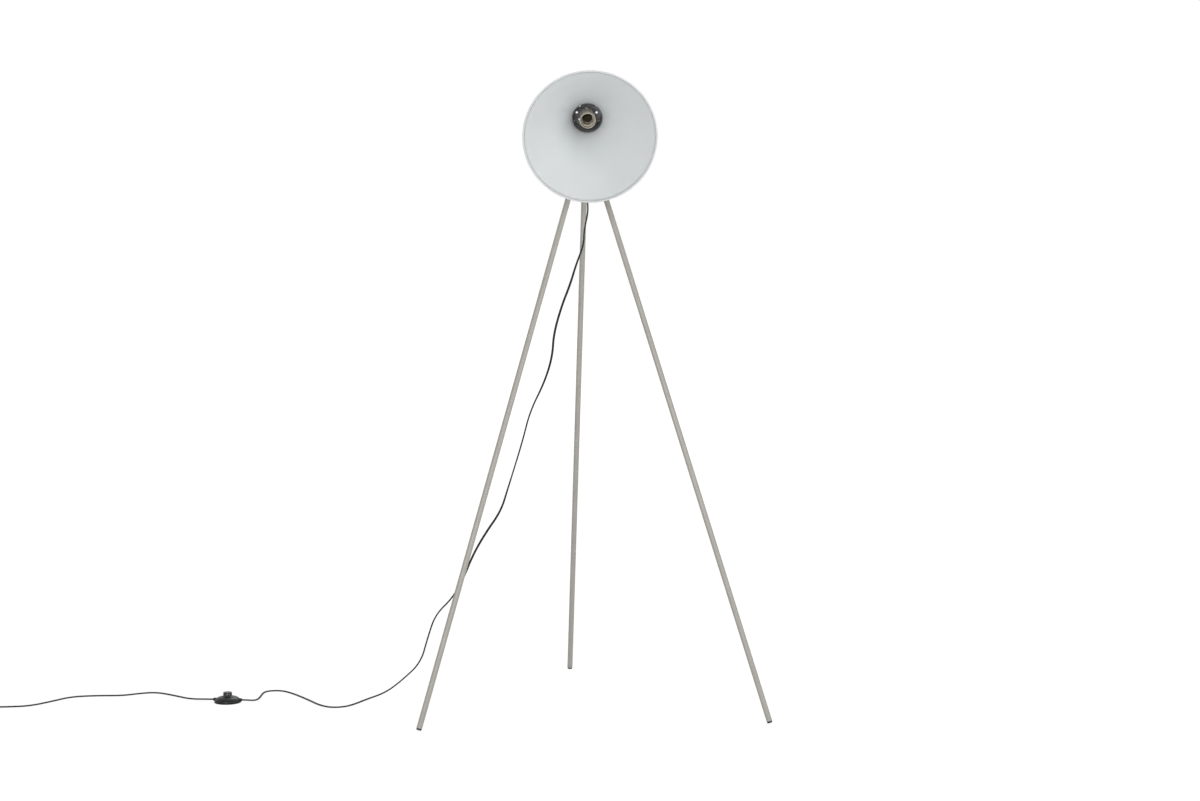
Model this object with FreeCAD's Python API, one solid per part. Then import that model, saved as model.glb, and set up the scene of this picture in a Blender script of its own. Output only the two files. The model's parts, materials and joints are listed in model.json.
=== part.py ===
import FreeCAD, Part
import math
import os

# A floor lamp on three straight legs. All lengths are in millimetres and all angles in degrees.
# The tripod's upright axis is the working axis, with the floor at height 0, +X to the right and
# -Y to the front, between the two front legs. At the end everything is moved along X and Y, so
# that the lamp without its mains cord stands centred over the origin.

V = FreeCAD.Vector
along_x = V(1, 0, 0)
along_y = V(0, 1, 0)
along_z = V(0, 0, 1)
centre = V(0, 0, 0)

# Legs: their centre lines meet in one point above the hub
leg_angles = {"left": 210.0, "right": 330.0, "back": 90.0}
legs_meet_height = 1350.0
foot_circle_radius = 465.0
leg_diameter = 13.0
leg_wall = 1.0
leg_top_from_meeting_point = 55.0

# Foot plugs, trimmed flat where they stand
foot_plug_diameter = 12.2
foot_plug_cap_length = 4.0
foot_plug_spigot_length = 14.0
foot_plug_edge = 0.6
foot_flat_depth = 0.8
push_in_clearance = 0.05

# Threaded studs in the tops of the legs
leg_stud_diameter = 8.0
leg_stud_length = 13.0
leg_stud_plug_length = 20.0
stud_hole_spare = 1.0
thread_clearance = 0.05

# Hub
hub_diameter = 62.0
hub_flat_diameter = 24.0
hub_edge = 1.5
leg_socket_depth = 8.0
leg_socket_clearance = 0.1
hub_roof = 3.5

# Central threaded tube and what it clamps
tube_thread_diameter = 10.0
wire_bore_diameter = 7.0
lock_washer_diameter = 18.0
lock_washer_thickness = 1.0
lock_nut_across_flats = 14.0
lock_nut_height = 4.0
gland_thread_length = 10.0

# Stem and swivel base
stem_length = 52.5
stem_diameter = 16.0
stem_wall = 1.2
stem_seat_depth = 3.0
stem_seat_clearance = 0.1
swivel_base_diameter = 22.0
swivel_base_height = 14.0
swivel_base_edge = 1.0
swivel_thread_length = 8.0
shank_diameter = 12.0
shank_spare = 0.5
pan_groove_depth = 1.0
pan_groove_width = 3.6
pan_screw_diameter = 3.0
pan_screw_clearance = 0.3
pan_screw_recess = 0.6
pan_washer_thickness = 0.8
running_clearance = 0.05

# Fork and tilt clamp, round the tilt pivot
fork_base_drop = 20.0
fork_base_thickness = 10.0
fork_ear_thickness = 4.6
eye_radius = 8.5
eye_thickness = 9.0
friction_washer_diameter = 16.0
friction_washer_thickness = 0.8
clamp_bolt_diameter = 6.0
clamp_bolt_head_diameter = 11.0
clamp_bolt_head_height = 3.5
clamp_bolt_head_edge = 1.2
hex_recess_across_flats = 4.0
hex_recess_depth = 2.0
knob_washer_diameter = 13.0
knob_washer_thickness = 1.0
spring_washer_diameter = 10.5
spring_washer_thickness = 1.4
spring_washer_gap = 1.2
knob_diameter = 16.0
knob_length = 8.0
knob_edge = 1.2
knob_scallops = 8
knob_scallop_radius = 2.0
knob_scallop_depth = 0.8
knob_end_wall = 2.0
knob_insert_diameter = 10.0
knob_insert_length = 6.0

# Head pose, and the distances along the shade's axis from the tilt pivot
head_pan = -3.4
head_tilt = 15.6
cup_back = 44.8
neck_plane = 103.0
shade_rim = 290.0
holder_stand_out = 27.0

# Arm and nipple
arm_diameter = 13.0
arm_flange_diameter = 22.0
arm_flange_thickness = 4.0
arm_flange_edge = 0.8
arm_tongue_length = 16.0
arm_tongue_half_height = 6.0
arm_slot_start = 7.0
arm_slot_length = 7.0
arm_slot_width = 5.6
nipple_seat_length = 14.8
nipple_end_in_cap = 9.0

# Cup with its ring of vents
cup_diameter = 69.6
cup_wall = 1.0
cup_back_thickness = 1.2
cup_corner_radius = 3.0
vent_count = 8
vent_circle_diameter = 46.0
vent_diameter = 5.0

# Shade
shade_diameter = 300.0
shade_wall = 1.0
bead_diameter = 3.6
shade_collar_start = 50.0
shade_collar_clearance = 0.1
neck_flare_start = 101.0
neck_flare_radius = 40.0
neck_flare_angle = 18.0
shade_screw_angles = [90.0, 210.0, 330.0]
shade_screw_position = 60.0
shade_screw_diameter = 3.0
shade_screw_head_diameter = 6.0
shade_screw_head_height = 1.8
shade_screw_inside_length = 3.0

# Lampholder for a 27 mm screw cap
holder_diameter = 37.0
holder_wall = 2.3
holder_length = 70.0
holder_cap_length = 22.0
holder_cap_wall = 2.6
holder_cap_shoulder_radius = 12.0
holder_cap_shoulder_start = 6.0
holder_cap_cone_end = 15.0
holder_neck_diameter = 16.0
holder_neck_length = 8.0
holder_nut_height = 3.0
core_clearance = 0.1
core_recess = 16.0
core_back_from_mouth = 45.0
core_floor_from_mouth = 39.0
core_ledge_from_mouth = 32.0
core_well_diameter = 23.0
core_slot_width = 5.0
core_slot_depth = 6.0
core_slot_wall = 1.0
core_slot_turn = 6.0
screw_shell_bore = 26.8
screw_shell_wall = 0.5
contact_width = 4.0
contact_length = 10.0
contact_thickness = 0.5
contact_rise = 4.0
terminal_size = V(5.0, 7.0, 8.0)
terminal_offset = 7.5
wire_diameter = 2.0
wire_offset = 1.4
wire_start_in_nipple = 10.0

# Cord and its gland
cord_diameter = 5.4
cord_bore_clearance = 0.05
gland_diameter = 16.0
gland_end_diameter = 10.0
gland_straight_length = 12.0
gland_length = 30.0
gland_screw_diameter = 3.0
gland_screw_length = 8.0
gland_screw_drop = 15.0
arc_share = 0.45

# Foot switch, at its place on the floor and turned to the cord
switch_position = V(-852.0, 126.0, 0.0)
switch_heading = 168.0
switch_base_diameter = 64.0
switch_base_thickness = 2.5
switch_rim_diameter = 62.4
switch_rim_top = 5.5
switch_top = 14.0
switch_collar_diameter = 29.0
switch_collar_height = 1.7
switch_collar_wall = 0.9
switch_wall = 2.0
switch_dome_bulge = 2.4
switch_lip_height = 1.6
switch_lip_wall = 1.6
switch_lip_clearance = 0.2
nozzle_diameter = 7.8
nozzle_height = 6.4
nozzle_reach = 34.5
button_diameter = 21.6
button_top = 25.4
button_edge = 1.6
button_clearance = 0.4
button_flange_diameter = 25.6
button_flange_thickness = 1.5
button_flange_clearance = 0.3
button_bore = 14.0
button_roof = 3.6
button_travel = 3.0
block_size = V(18.0, 12.0, 4.0)
switch_spring_diameter = 11.2
switch_spring_wire = 0.9
switch_spring_turns = 6
switch_terminal_size = V(6.0, 5.0, 3.8)
switch_terminal_offset = 18.0
switch_screw_angles = [90.0, 210.0, 330.0]
switch_screw_circle_radius = 22.0
switch_screw_diameter = 2.9
switch_screw_head_diameter = 5.2
switch_screw_head_height = 1.2
switch_screw_length = 7.0
switch_post_diameter = 6.4

# Plug, flat with two round pins, and its boot
plug_width = 35.3
plug_thickness = 13.7
plug_face_length = 11.0
plug_shoulder_length = 24.0
plug_back_width = 13.0
plug_back_thickness = 9.6
plug_corner = 4.0
plug_back_corner = 2.0
pin_diameter = 4.0
pin_length = 19.0
pin_spacing = 19.0
boot_length = 24.0
boot_big_diameter = 9.4
boot_small_diameter = 7.0

# Put-away coil: two piled layers, wound clockwise seen from above
coil_position = V(-1440.0, 148.5, 0.0)
coil_outer_radius = 36.5
coil_pitch = 6.0
coil_layer_step = 6.0
quarter_turns_in = 6
quarter_turns_out = 7
coil_tail_length = 20.0
tail_drop_length = 18.0
tail_end_length = 14.0
tie_thickness = 0.8
tie_width = 9.0
tie_slack = 0.3
tie_angle = 40.0

# The mains cord, seen from its exit: down through the tripod, then over the floor to the switch
floor_line = cord_diameter / 2
gland_lead = 34.0
switch_lead = 16.0
upper_cord_points = [
    V(6, -1, 1176),
    V(-5, 1, 1128),
    V(-5, 2, 1096),
    V(-24, 6, 1046),
    V(-36, 10, 1004),
    V(-57, 15, 950),
    V(-75, 20, 885),
    V(-78, 21, 832),
    V(-96, 26, 772),
    V(-130, 35, 702),
    V(-147, 40, 634),
    V(-163, 44, 580),
    V(-183, 49, 515),
    V(-199, 54, 462),
    V(-236, 63, 408),
    V(-266, 72, 354),
    V(-287, 77, 300),
    V(-314, 85, 250),
    V(-355, 96, 209),
    V(-374, 101, 150),
    V(-390, 105, 92),
    V(-432, 116, 50),
    V(-474, 126, 17),
    V(-523, 116, floor_line),
    V(-550, 64, floor_line),
    V(-574, 36, floor_line),
    V(-606, 33, floor_line),
    V(-633, 64, floor_line),
    V(-658, 122, floor_line),
    V(-692, 193, floor_line),
    V(-721, 238, floor_line),
    V(-741, 246, floor_line),
    V(-763, 241, floor_line),
    V(-777, 224, floor_line),
    V(-777, 191, floor_line),
    V(-769.5, 161, floor_line),
    V(-770.8, 136.5, floor_line),
    V(-783.4, 121, 4.2),
]
# From the switch over the floor to the left
lower_cord_points = [
    V(-944, 164, floor_line),
    V(-984, 209, floor_line),
    V(-1031, 253, floor_line),
    V(-1071, 244, floor_line),
    V(-1110, 221, floor_line),
    V(-1172, 227, floor_line),
    V(-1233, 219, floor_line),
    V(-1271, 170, floor_line),
    V(-1316, 121, floor_line),
    V(-1364, 112, 3.5),
]
coil_lead = 36.0

# Worked out from the sizes above
leg_radius = leg_diameter / 2
leg_splay = math.degrees(math.atan2(foot_circle_radius, legs_meet_height))
splay_sine = math.sin(math.radians(leg_splay))
splay_cosine = math.cos(math.radians(leg_splay))
foot_plug_radius = foot_plug_diameter / 2
foot_end_height = foot_plug_radius * splay_sine - foot_flat_depth
foot_distance = (legs_meet_height - foot_end_height) / splay_cosine
leg_bottom = foot_distance - foot_plug_cap_length
leg_top = leg_top_from_meeting_point
stud_radius = leg_stud_diameter / 2
tube_radius = tube_thread_diameter / 2
wire_bore_radius = wire_bore_diameter / 2
cord_radius = cord_diameter / 2

socket_mouth_height = legs_meet_height - (leg_top + leg_socket_depth) * splay_cosine
socket_mouth_radius = (leg_top + leg_socket_depth) * splay_sine
stud_hole_top = leg_top - leg_stud_length - stud_hole_spare
hub_top = legs_meet_height - stud_hole_top * splay_cosine + stud_radius * splay_sine + hub_roof

swivel_base_bottom = hub_top + stem_length
swivel_base_top = swivel_base_bottom + swivel_base_height
fork_base_bottom = swivel_base_top + pan_washer_thickness + running_clearance
fork_base_top = fork_base_bottom + fork_base_thickness
pivot_height = fork_base_top + fork_base_drop
fork_inner = eye_thickness / 2 + friction_washer_thickness + 2 * running_clearance
fork_outer = fork_inner + fork_ear_thickness
fork_base_radius = math.hypot(fork_outer, eye_radius)
knob_start = fork_outer + knob_washer_thickness + spring_washer_thickness + running_clearance
holder_mouth = neck_plane + holder_stand_out
holder_back = holder_mouth - holder_length
cap_front = holder_back + holder_cap_length
nipple_start = cup_back - nipple_seat_length
nipple_end = holder_back + nipple_end_in_cap
cup_inside = cup_back + cup_back_thickness
cup_radius = cup_diameter / 2
pivot = V(0, 0, pivot_height)


def hub_underside(radius):
    """Height of the hub's conical underside, square to the legs."""
    return socket_mouth_height + (radius - socket_mouth_radius) * splay_sine / splay_cosine


hub_flat = hub_underside(hub_flat_diameter / 2)
hub_nut_bottom = hub_flat - lock_washer_thickness - lock_nut_height
gland_bottom = hub_nut_bottom - gland_length


def turned(profile):
    """Solid of revolution about Z from a closed outline of (radius, height) points."""
    corners = [V(radius, 0, height) for radius, height in profile]
    return Part.Face(Part.makePolygon(corners + corners[:1])).revolve(centre, along_z, 360)


def turned_edges(edges):
    """Solid of revolution about Z from outline edges in the XZ plane."""
    return Part.Face(Part.Wire(edges)).revolve(centre, along_z, 360)


def rod(radius, start, end):
    """Cylinder from one point to another."""
    return Part.makeCylinder(radius, (end - start).Length, start, end - start)


def block(low, high):
    """Box between two corners."""
    size = high - low
    return Part.makeBox(size.x, size.y, size.z, low)


def ring(inner_radius, outer_radius, bottom, top):
    """Flat ring about Z."""
    return turned([(inner_radius, bottom), (outer_radius, bottom), (outer_radius, top), (inner_radius, top)])


def hexagon(across_flats, bottom, top, bore_radius=0.0):
    """Hexagonal prism about Z, with a bore where one is given."""
    corner = across_flats / math.sqrt(3)
    corners = []
    for index in range(6):
        angle = math.radians(60 * index)
        corners.append(V(corner * math.cos(angle), corner * math.sin(angle), bottom))
    prism = Part.Face(Part.makePolygon(corners + corners[:1])).extrude(V(0, 0, top - bottom))
    if bore_radius:
        prism = prism.cut(Part.makeCylinder(bore_radius, top - bottom, V(0, 0, bottom)))
    return prism


def turn(axis, angle):
    return FreeCAD.Rotation(axis, angle)


def put(shape, placement):
    """Copy of a shape that was drawn in its own frame, at its place on the lamp."""
    moved = shape.copy()
    moved.Placement = placement.multiply(moved.Placement)
    return moved


def leg_frame(angle):
    """Z runs down the leg from the point where the legs meet."""
    rotation = turn(along_z, angle).multiply(turn(along_y, 180 - leg_splay))
    return FreeCAD.Placement(V(0, 0, legs_meet_height), rotation)


# Z runs along the shade's axis to its mouth, X along the clamp bolt, Y upwards
head_frame = FreeCAD.Placement(pivot, turn(along_z, head_pan).multiply(turn(along_x, 90 + head_tilt)))
# X runs along the clamp bolt, Z upwards
swivel_frame = FreeCAD.Placement(pivot, turn(along_z, head_pan))
bolt_turn = FreeCAD.Placement(centre, turn(along_y, 90))
# X runs along the cord to the plug, Z upwards
switch_frame = FreeCAD.Placement(switch_position, turn(along_z, switch_heading))


def leg_tube(angle):
    wall = ring(leg_radius - leg_wall, leg_radius, leg_top, leg_bottom)
    return put(wall, leg_frame(angle))


def foot_plug(angle):
    spigot_radius = leg_radius - leg_wall - push_in_clearance
    shape = turned([
        (0, leg_bottom - foot_plug_spigot_length),
        (spigot_radius, leg_bottom - foot_plug_spigot_length),
        (spigot_radius, leg_bottom),
        (foot_plug_radius, leg_bottom),
        (foot_plug_radius, foot_distance - foot_plug_edge),
        (foot_plug_radius - foot_plug_edge, foot_distance),
        (0, foot_distance),
    ])
    plug = put(shape, leg_frame(angle))
    reach = 2 * foot_circle_radius
    below_floor = block(V(-reach, -reach, -leg_diameter), V(reach, reach, 0))
    return plug.cut(below_floor)


def leg_stud(angle):
    plug_radius = leg_radius - leg_wall - push_in_clearance
    shape = turned([
        (0, leg_top - leg_stud_length),
        (stud_radius, leg_top - leg_stud_length),
        (stud_radius, leg_top),
        (plug_radius, leg_top),
        (plug_radius, leg_top + leg_stud_plug_length),
        (0, leg_top + leg_stud_plug_length),
    ])
    return put(shape, leg_frame(angle))


def leg_hub():
    hub_radius = hub_diameter / 2
    bore = tube_radius + thread_clearance
    seat = stem_diameter / 2 + stem_seat_clearance
    hub = turned([
        (bore, hub_flat),
        (hub_flat_diameter / 2, hub_flat),
        (hub_radius, hub_underside(hub_radius)),
        (hub_radius, hub_top - hub_edge),
        (hub_radius - hub_edge, hub_top),
        (seat, hub_top),
        (seat, hub_top - stem_seat_depth),
        (bore, hub_top - stem_seat_depth),
    ])
    socket = Part.makeCylinder(leg_radius + leg_socket_clearance, hub_diameter, V(0, 0, leg_top))
    stud_hole = Part.makeCylinder(stud_radius + thread_clearance, hub_diameter, V(0, 0, stud_hole_top))
    for angle in leg_angles.values():
        hub = hub.cut(put(socket.fuse(stud_hole), leg_frame(angle)))
    return hub


def threaded_tube():
    bottom = hub_nut_bottom - gland_thread_length
    top = swivel_base_bottom + stem_seat_depth + swivel_thread_length
    return ring(wire_bore_radius, tube_radius, bottom, top)


def hub_washer():
    bottom = hub_flat - lock_washer_thickness
    return ring(tube_radius + thread_clearance, lock_washer_diameter / 2, bottom, hub_flat)


def hub_nut():
    return hexagon(lock_nut_across_flats, hub_nut_bottom, hub_nut_bottom + lock_nut_height,
                   tube_radius + thread_clearance)


def stem_tube():
    bottom = hub_top - stem_seat_depth
    top = swivel_base_bottom + stem_seat_depth
    return ring(stem_diameter / 2 - stem_wall, stem_diameter / 2, bottom, top)


def swivel_base():
    outer = swivel_base_diameter / 2
    seat = stem_diameter / 2 + stem_seat_clearance
    thread = tube_radius + thread_clearance
    thread_top = swivel_base_bottom + stem_seat_depth + swivel_thread_length
    shank = shank_diameter / 2
    groove = shank - pan_groove_depth
    groove_middle = fork_base_bottom + fork_base_thickness / 2
    return turned([
        (thread, swivel_base_bottom + stem_seat_depth),
        (seat, swivel_base_bottom + stem_seat_depth),
        (seat, swivel_base_bottom),
        (outer - swivel_base_edge, swivel_base_bottom),
        (outer, swivel_base_bottom + swivel_base_edge),
        (outer, swivel_base_top),
        (shank, swivel_base_top),
        (shank, groove_middle - pan_groove_width / 2),
        (groove, groove_middle - pan_groove_width / 2),
        (groove, groove_middle + pan_groove_width / 2),
        (shank, groove_middle + pan_groove_width / 2),
        (shank, fork_base_top - shank_spare),
        (wire_bore_radius, fork_base_top - shank_spare),
        (wire_bore_radius, thread_top),
        (thread, thread_top),
    ])


def pan_washer():
    return ring(shank_diameter / 2 + running_clearance, swivel_base_diameter / 2 - swivel_base_edge,
                swivel_base_top, swivel_base_top + pan_washer_thickness)


def cord_gland():
    straight = hub_nut_bottom - gland_straight_length
    cord_bore = cord_radius + cord_bore_clearance
    thread = tube_radius + thread_clearance
    gland = turned([
        (thread, hub_nut_bottom),
        (gland_diameter / 2, hub_nut_bottom),
        (gland_diameter / 2, straight),
        (gland_end_diameter / 2, gland_bottom),
        (cord_bore, gland_bottom),
        (cord_bore, hub_nut_bottom - gland_thread_length),
        (thread, hub_nut_bottom - gland_thread_length),
    ])
    return gland.cut(gland_screw_rod(thread_clearance))


def gland_screw_rod(spare):
    """Grip screw that bears on the cord from the back of the gland."""
    height = hub_nut_bottom - gland_screw_drop
    tip = cord_radius + cord_bore_clearance
    return rod(gland_screw_diameter / 2 + spare, V(0, tip, height), V(0, tip + gland_screw_length, height))


def gland_screw():
    return gland_screw_rod(0)


def cord_inside_stem():
    return rod(cord_radius, V(0, 0, gland_bottom), V(0, 0, fork_base_top - shank_spare))


def bolt_ring(inner_radius, outer_radius, start, end):
    """Flat ring about the clamp bolt."""
    return put(ring(inner_radius, outer_radius, start, end), bolt_turn)


def swivel_fork():
    bottom = -fork_base_drop - fork_base_thickness
    base = Part.makeCylinder(fork_base_radius, fork_base_thickness, V(0, 0, bottom))
    ears = block(V(-fork_outer, -eye_radius, bottom + fork_base_thickness / 2), V(fork_outer, eye_radius, 0))
    round_top = rod(eye_radius, V(-fork_outer, 0, 0), V(fork_outer, 0, 0))
    fork = base.fuse([ears, round_top])
    gap = block(V(-fork_inner, -fork_outer, -fork_base_drop), V(fork_inner, fork_outer, fork_outer))
    bolt_hole = rod(clamp_bolt_diameter / 2 + running_clearance, V(-knob_diameter, 0, 0), V(knob_diameter, 0, 0))
    shank_hole = Part.makeCylinder(shank_diameter / 2 + running_clearance, fork_base_thickness, V(0, 0, bottom))
    fork = fork.cut(gap).cut(bolt_hole).cut(shank_hole).cut(pan_screw_rod(thread_clearance, 1))
    return put(fork.removeSplitter(), swivel_frame)


def pan_screw_rod(spare, extra):
    """Screw through the back of the fork's base, with its tip in the shank's groove."""
    height = -fork_base_drop - fork_base_thickness / 2
    tip = shank_diameter / 2 - pan_groove_depth + pan_screw_clearance
    end = fork_base_radius - pan_screw_recess + extra
    return rod(pan_screw_diameter / 2 + spare, V(0, tip, height), V(0, end, height))


def pan_screw():
    return put(pan_screw_rod(0, 0), swivel_frame)


def clamp_bolt():
    shank = clamp_bolt_diameter / 2
    head = clamp_bolt_head_diameter / 2
    end = knob_start + knob_insert_length
    shape = turned([
        (0, -fork_outer - clamp_bolt_head_height),
        (head - clamp_bolt_head_edge, -fork_outer - clamp_bolt_head_height),
        (head, -fork_outer - clamp_bolt_head_height + clamp_bolt_head_edge),
        (head, -fork_outer),
        (shank, -fork_outer),
        (shank, end),
        (0, end),
    ])
    recess = hexagon(hex_recess_across_flats, -fork_outer - clamp_bolt_head_height,
                     -fork_outer - clamp_bolt_head_height + hex_recess_depth)
    return put(shape.cut(recess), swivel_frame.multiply(bolt_turn))


def friction_washers():
    start = eye_thickness / 2 + running_clearance
    washers = []
    for near in (start, -start - friction_washer_thickness):
        washer = bolt_ring(clamp_bolt_diameter / 2 + running_clearance, friction_washer_diameter / 2,
                           near, near + friction_washer_thickness)
        washers.append(put(washer, swivel_frame))
    return Part.makeCompound(washers)


def knob_washer():
    washer = bolt_ring(clamp_bolt_diameter / 2 + running_clearance, knob_washer_diameter / 2,
                       fork_outer, fork_outer + knob_washer_thickness)
    return put(washer, swivel_frame)


def spring_washer():
    start = fork_outer + knob_washer_thickness
    washer = bolt_ring(clamp_bolt_diameter / 2 + running_clearance, spring_washer_diameter / 2,
                       start, start + spring_washer_thickness)
    split = block(V(start, -spring_washer_gap / 2, 0),
                  V(start + spring_washer_thickness, spring_washer_gap / 2, spring_washer_diameter))
    return put(washer.cut(split), swivel_frame)


def tilt_knob():
    outer = knob_diameter / 2
    insert = knob_insert_diameter / 2
    end = knob_start + knob_length
    shape = turned([
        (insert, knob_start),
        (outer - knob_edge, knob_start),
        (outer, knob_start + knob_edge),
        (outer, end - knob_edge),
        (outer - knob_edge, end),
        (0, end),
        (0, end - knob_end_wall),
        (insert, end - knob_end_wall),
    ])
    for index in range(knob_scallops):
        angle = math.radians(360 * index / knob_scallops)
        reach = outer + knob_scallop_radius - knob_scallop_depth
        place = V(reach * math.cos(angle), reach * math.sin(angle), knob_start)
        shape = shape.cut(Part.makeCylinder(knob_scallop_radius, knob_length, place))
    return put(shape, swivel_frame.multiply(bolt_turn))


def knob_insert():
    insert = bolt_ring(clamp_bolt_diameter / 2 + running_clearance, knob_insert_diameter / 2,
                       knob_start, knob_start + knob_insert_length)
    return put(insert, swivel_frame)


def head_arm():
    flange_start = cup_back - arm_flange_thickness
    eye = rod(eye_radius, V(-eye_thickness / 2, 0, 0), V(eye_thickness / 2, 0, 0))
    tongue = block(V(-eye_thickness / 2, -arm_tongue_half_height, 0),
                   V(eye_thickness / 2, arm_tongue_half_height, arm_tongue_length))
    neck = turned([
        (0, arm_tongue_length - arm_flange_edge),
        (arm_diameter / 2, arm_tongue_length - arm_flange_edge),
        (arm_diameter / 2, flange_start),
        (arm_flange_diameter / 2 - arm_flange_edge, flange_start),
        (arm_flange_diameter / 2, flange_start + arm_flange_edge),
        (arm_flange_diameter / 2, cup_back),
        (0, cup_back),
    ])
    arm = eye.fuse([tongue, neck])
    slot = block(V(-arm_slot_width / 2, -eye_radius, arm_slot_start),
                 V(arm_slot_width / 2, 0, arm_slot_start + arm_slot_length))
    wire_bore = rod(wire_bore_radius, V(0, 0, arm_slot_start + wire_bore_radius), V(0, 0, cup_back))
    nipple_seat = rod(tube_radius + thread_clearance, V(0, 0, nipple_start), V(0, 0, cup_back))
    bolt_hole = rod(clamp_bolt_diameter / 2 + running_clearance, V(-eye_thickness, 0, 0), V(eye_thickness, 0, 0))
    arm = arm.cut(slot).cut(wire_bore).cut(nipple_seat).cut(bolt_hole)
    return put(arm.removeSplitter(), head_frame)


def head_nipple():
    return put(ring(wire_bore_radius, tube_radius, nipple_start, nipple_end), head_frame)


def cord_inside_head():
    start = arm_slot_start + arm_slot_length
    return put(rod(cord_radius, V(0, 0, start), V(0, 0, nipple_end - wire_start_in_nipple)), head_frame)


def cup_washer():
    washer = ring(tube_radius + thread_clearance, lock_washer_diameter / 2,
                  cup_inside, cup_inside + lock_washer_thickness)
    return put(washer, head_frame)


def cup_nut():
    bottom = cup_inside + lock_washer_thickness
    nut = hexagon(lock_nut_across_flats, bottom, bottom + lock_nut_height, tube_radius + thread_clearance)
    return put(nut, head_frame)


def holder_nut():
    nut = hexagon(lock_nut_across_flats, holder_back - holder_nut_height, holder_back,
                  tube_radius + thread_clearance)
    return put(nut, head_frame)


def shade_screw_rods(radius, start, end):
    """Three radial rods through the shade's collar and the cup."""
    rods = []
    for angle in shade_screw_angles:
        way = V(math.cos(math.radians(angle)), math.sin(math.radians(angle)), 0)
        place = V(0, 0, shade_screw_position)
        rods.append(rod(radius, place + way * start, place + way * end))
    return rods


def socket_cup():
    inner = cup_radius - cup_wall
    bore = tube_radius + thread_clearance
    corner_middle = cup_corner_radius * (1 - math.sqrt(0.5))
    points = [
        V(bore, 0, cup_back),
        V(cup_radius - cup_corner_radius, 0, cup_back),
        V(cup_radius, 0, cup_back + cup_corner_radius),
        V(cup_radius, 0, neck_plane),
        V(inner, 0, neck_plane),
        V(inner, 0, cup_inside),
        V(bore, 0, cup_inside),
    ]
    corner = Part.Arc(points[1], V(cup_radius - corner_middle, 0, cup_back + corner_middle), points[2])
    edges = [Part.LineSegment(points[0], points[1]).toShape(), corner.toShape()]
    for start, end in zip(points[2:], points[3:] + points[:1]):
        edges.append(Part.LineSegment(start, end).toShape())
    cup = turned_edges(edges)
    for index in range(vent_count):
        angle = math.radians(360 * index / vent_count)
        place = V(math.cos(angle), math.sin(angle), 0) * (vent_circle_diameter / 2) + V(0, 0, cup_back)
        cup = cup.cut(Part.makeCylinder(vent_diameter / 2, cup_back_thickness, place))
    cup = cup.cut(shade_screw_rods(shade_screw_diameter / 2 + thread_clearance, inner / 2, cup_diameter))
    return put(cup, head_frame)


collar_inside = cup_radius + shade_collar_clearance
bead_circle_radius = (shade_diameter - bead_diameter) / 2
bead_place = shade_rim - bead_diameter / 2


def flare_point(circle, angle, offset):
    """Point (radius, distance) on one of the shade's two flare arcs, offset outwards by the wall."""
    centre_radius, centre_distance, arc_radius = circle
    size = arc_radius - offset
    return V(centre_radius - size * math.cos(angle), 0, centre_distance + size * math.sin(angle))


def shade_side(offset):
    """Edges of one side of the shade's wall, from its collar to the bead."""
    neck_angle = math.radians(neck_flare_angle)
    neck_circle = (collar_inside + neck_flare_radius, neck_flare_start, neck_flare_radius)
    bell_start = flare_point(neck_circle, neck_angle, 0)
    to_rim = V(bead_circle_radius, 0, bead_place) - bell_start
    chord_angle = math.atan2(to_rim.x, to_rim.z)
    rim_angle = 2 * chord_angle - neck_angle
    bell_radius = to_rim.Length / (2 * math.sin((rim_angle - neck_angle) / 2))
    bell_circle = (
        bell_start.x + bell_radius * math.cos(neck_angle),
        bell_start.z - bell_radius * math.sin(neck_angle),
        bell_radius,
    )
    collar_radius = collar_inside + offset
    line = Part.LineSegment(V(collar_radius, 0, shade_collar_start), V(collar_radius, 0, neck_flare_start))
    neck = Part.Arc(*[flare_point(neck_circle, angle, offset) for angle in (0, neck_angle / 2, neck_angle)])
    bell_angles = (neck_angle, (neck_angle + rim_angle) / 2, rim_angle)
    bell = Part.Arc(*[flare_point(bell_circle, angle, offset) for angle in bell_angles])
    return [line.toShape(), neck.toShape(), bell.toShape()], bell.EndPoint


def shade():
    inside, inside_end = shade_side(0)
    outside, outside_end = shade_side(shade_wall)
    back = Part.LineSegment(V(collar_inside, 0, shade_collar_start),
                            V(collar_inside + shade_wall, 0, shade_collar_start))
    rim = Part.LineSegment(inside_end, outside_end)
    shell = turned_edges(Part.__sortEdges__(inside + outside + [back.toShape(), rim.toShape()]))
    bead = Part.makeTorus(bead_circle_radius, bead_diameter / 2, V(0, 0, bead_place))
    whole = shell.fuse(bead)
    whole = whole.cut(shade_screw_rods(shade_screw_diameter / 2 + thread_clearance, cup_radius, cup_diameter))
    return put(whole, head_frame)


def shade_screws():
    seat = collar_inside + shade_wall
    inner_end = cup_radius - cup_wall - shade_screw_inside_length
    shafts = shade_screw_rods(shade_screw_diameter / 2, inner_end, seat)
    heads = shade_screw_rods(shade_screw_head_diameter / 2, seat, seat + shade_screw_head_height)
    screws = [shaft.fuse(head) for shaft, head in zip(shafts, heads)]
    return put(Part.makeCompound(screws), head_frame)


def holder_cap():
    outer = holder_diameter / 2
    inner = outer - holder_wall
    neck = holder_neck_diameter / 2
    bore = tube_radius + thread_clearance
    cone_end = holder_back + holder_cap_cone_end
    shoulder = holder_back + holder_cap_shoulder_start
    cap = turned([
        (bore, holder_back),
        (neck, holder_back),
        (neck, shoulder),
        (holder_cap_shoulder_radius, shoulder),
        (outer, cone_end),
        (outer, cap_front),
        (inner, cap_front),
        (inner, cone_end + holder_cap_wall / 2),
        (holder_cap_shoulder_radius - holder_cap_wall / 2, holder_back + holder_neck_length),
        (bore, holder_back + holder_neck_length),
    ])
    return put(cap, head_frame)


def holder_body():
    outer = holder_diameter / 2
    return put(ring(outer - holder_wall, outer, cap_front, holder_mouth), head_frame)


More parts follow.
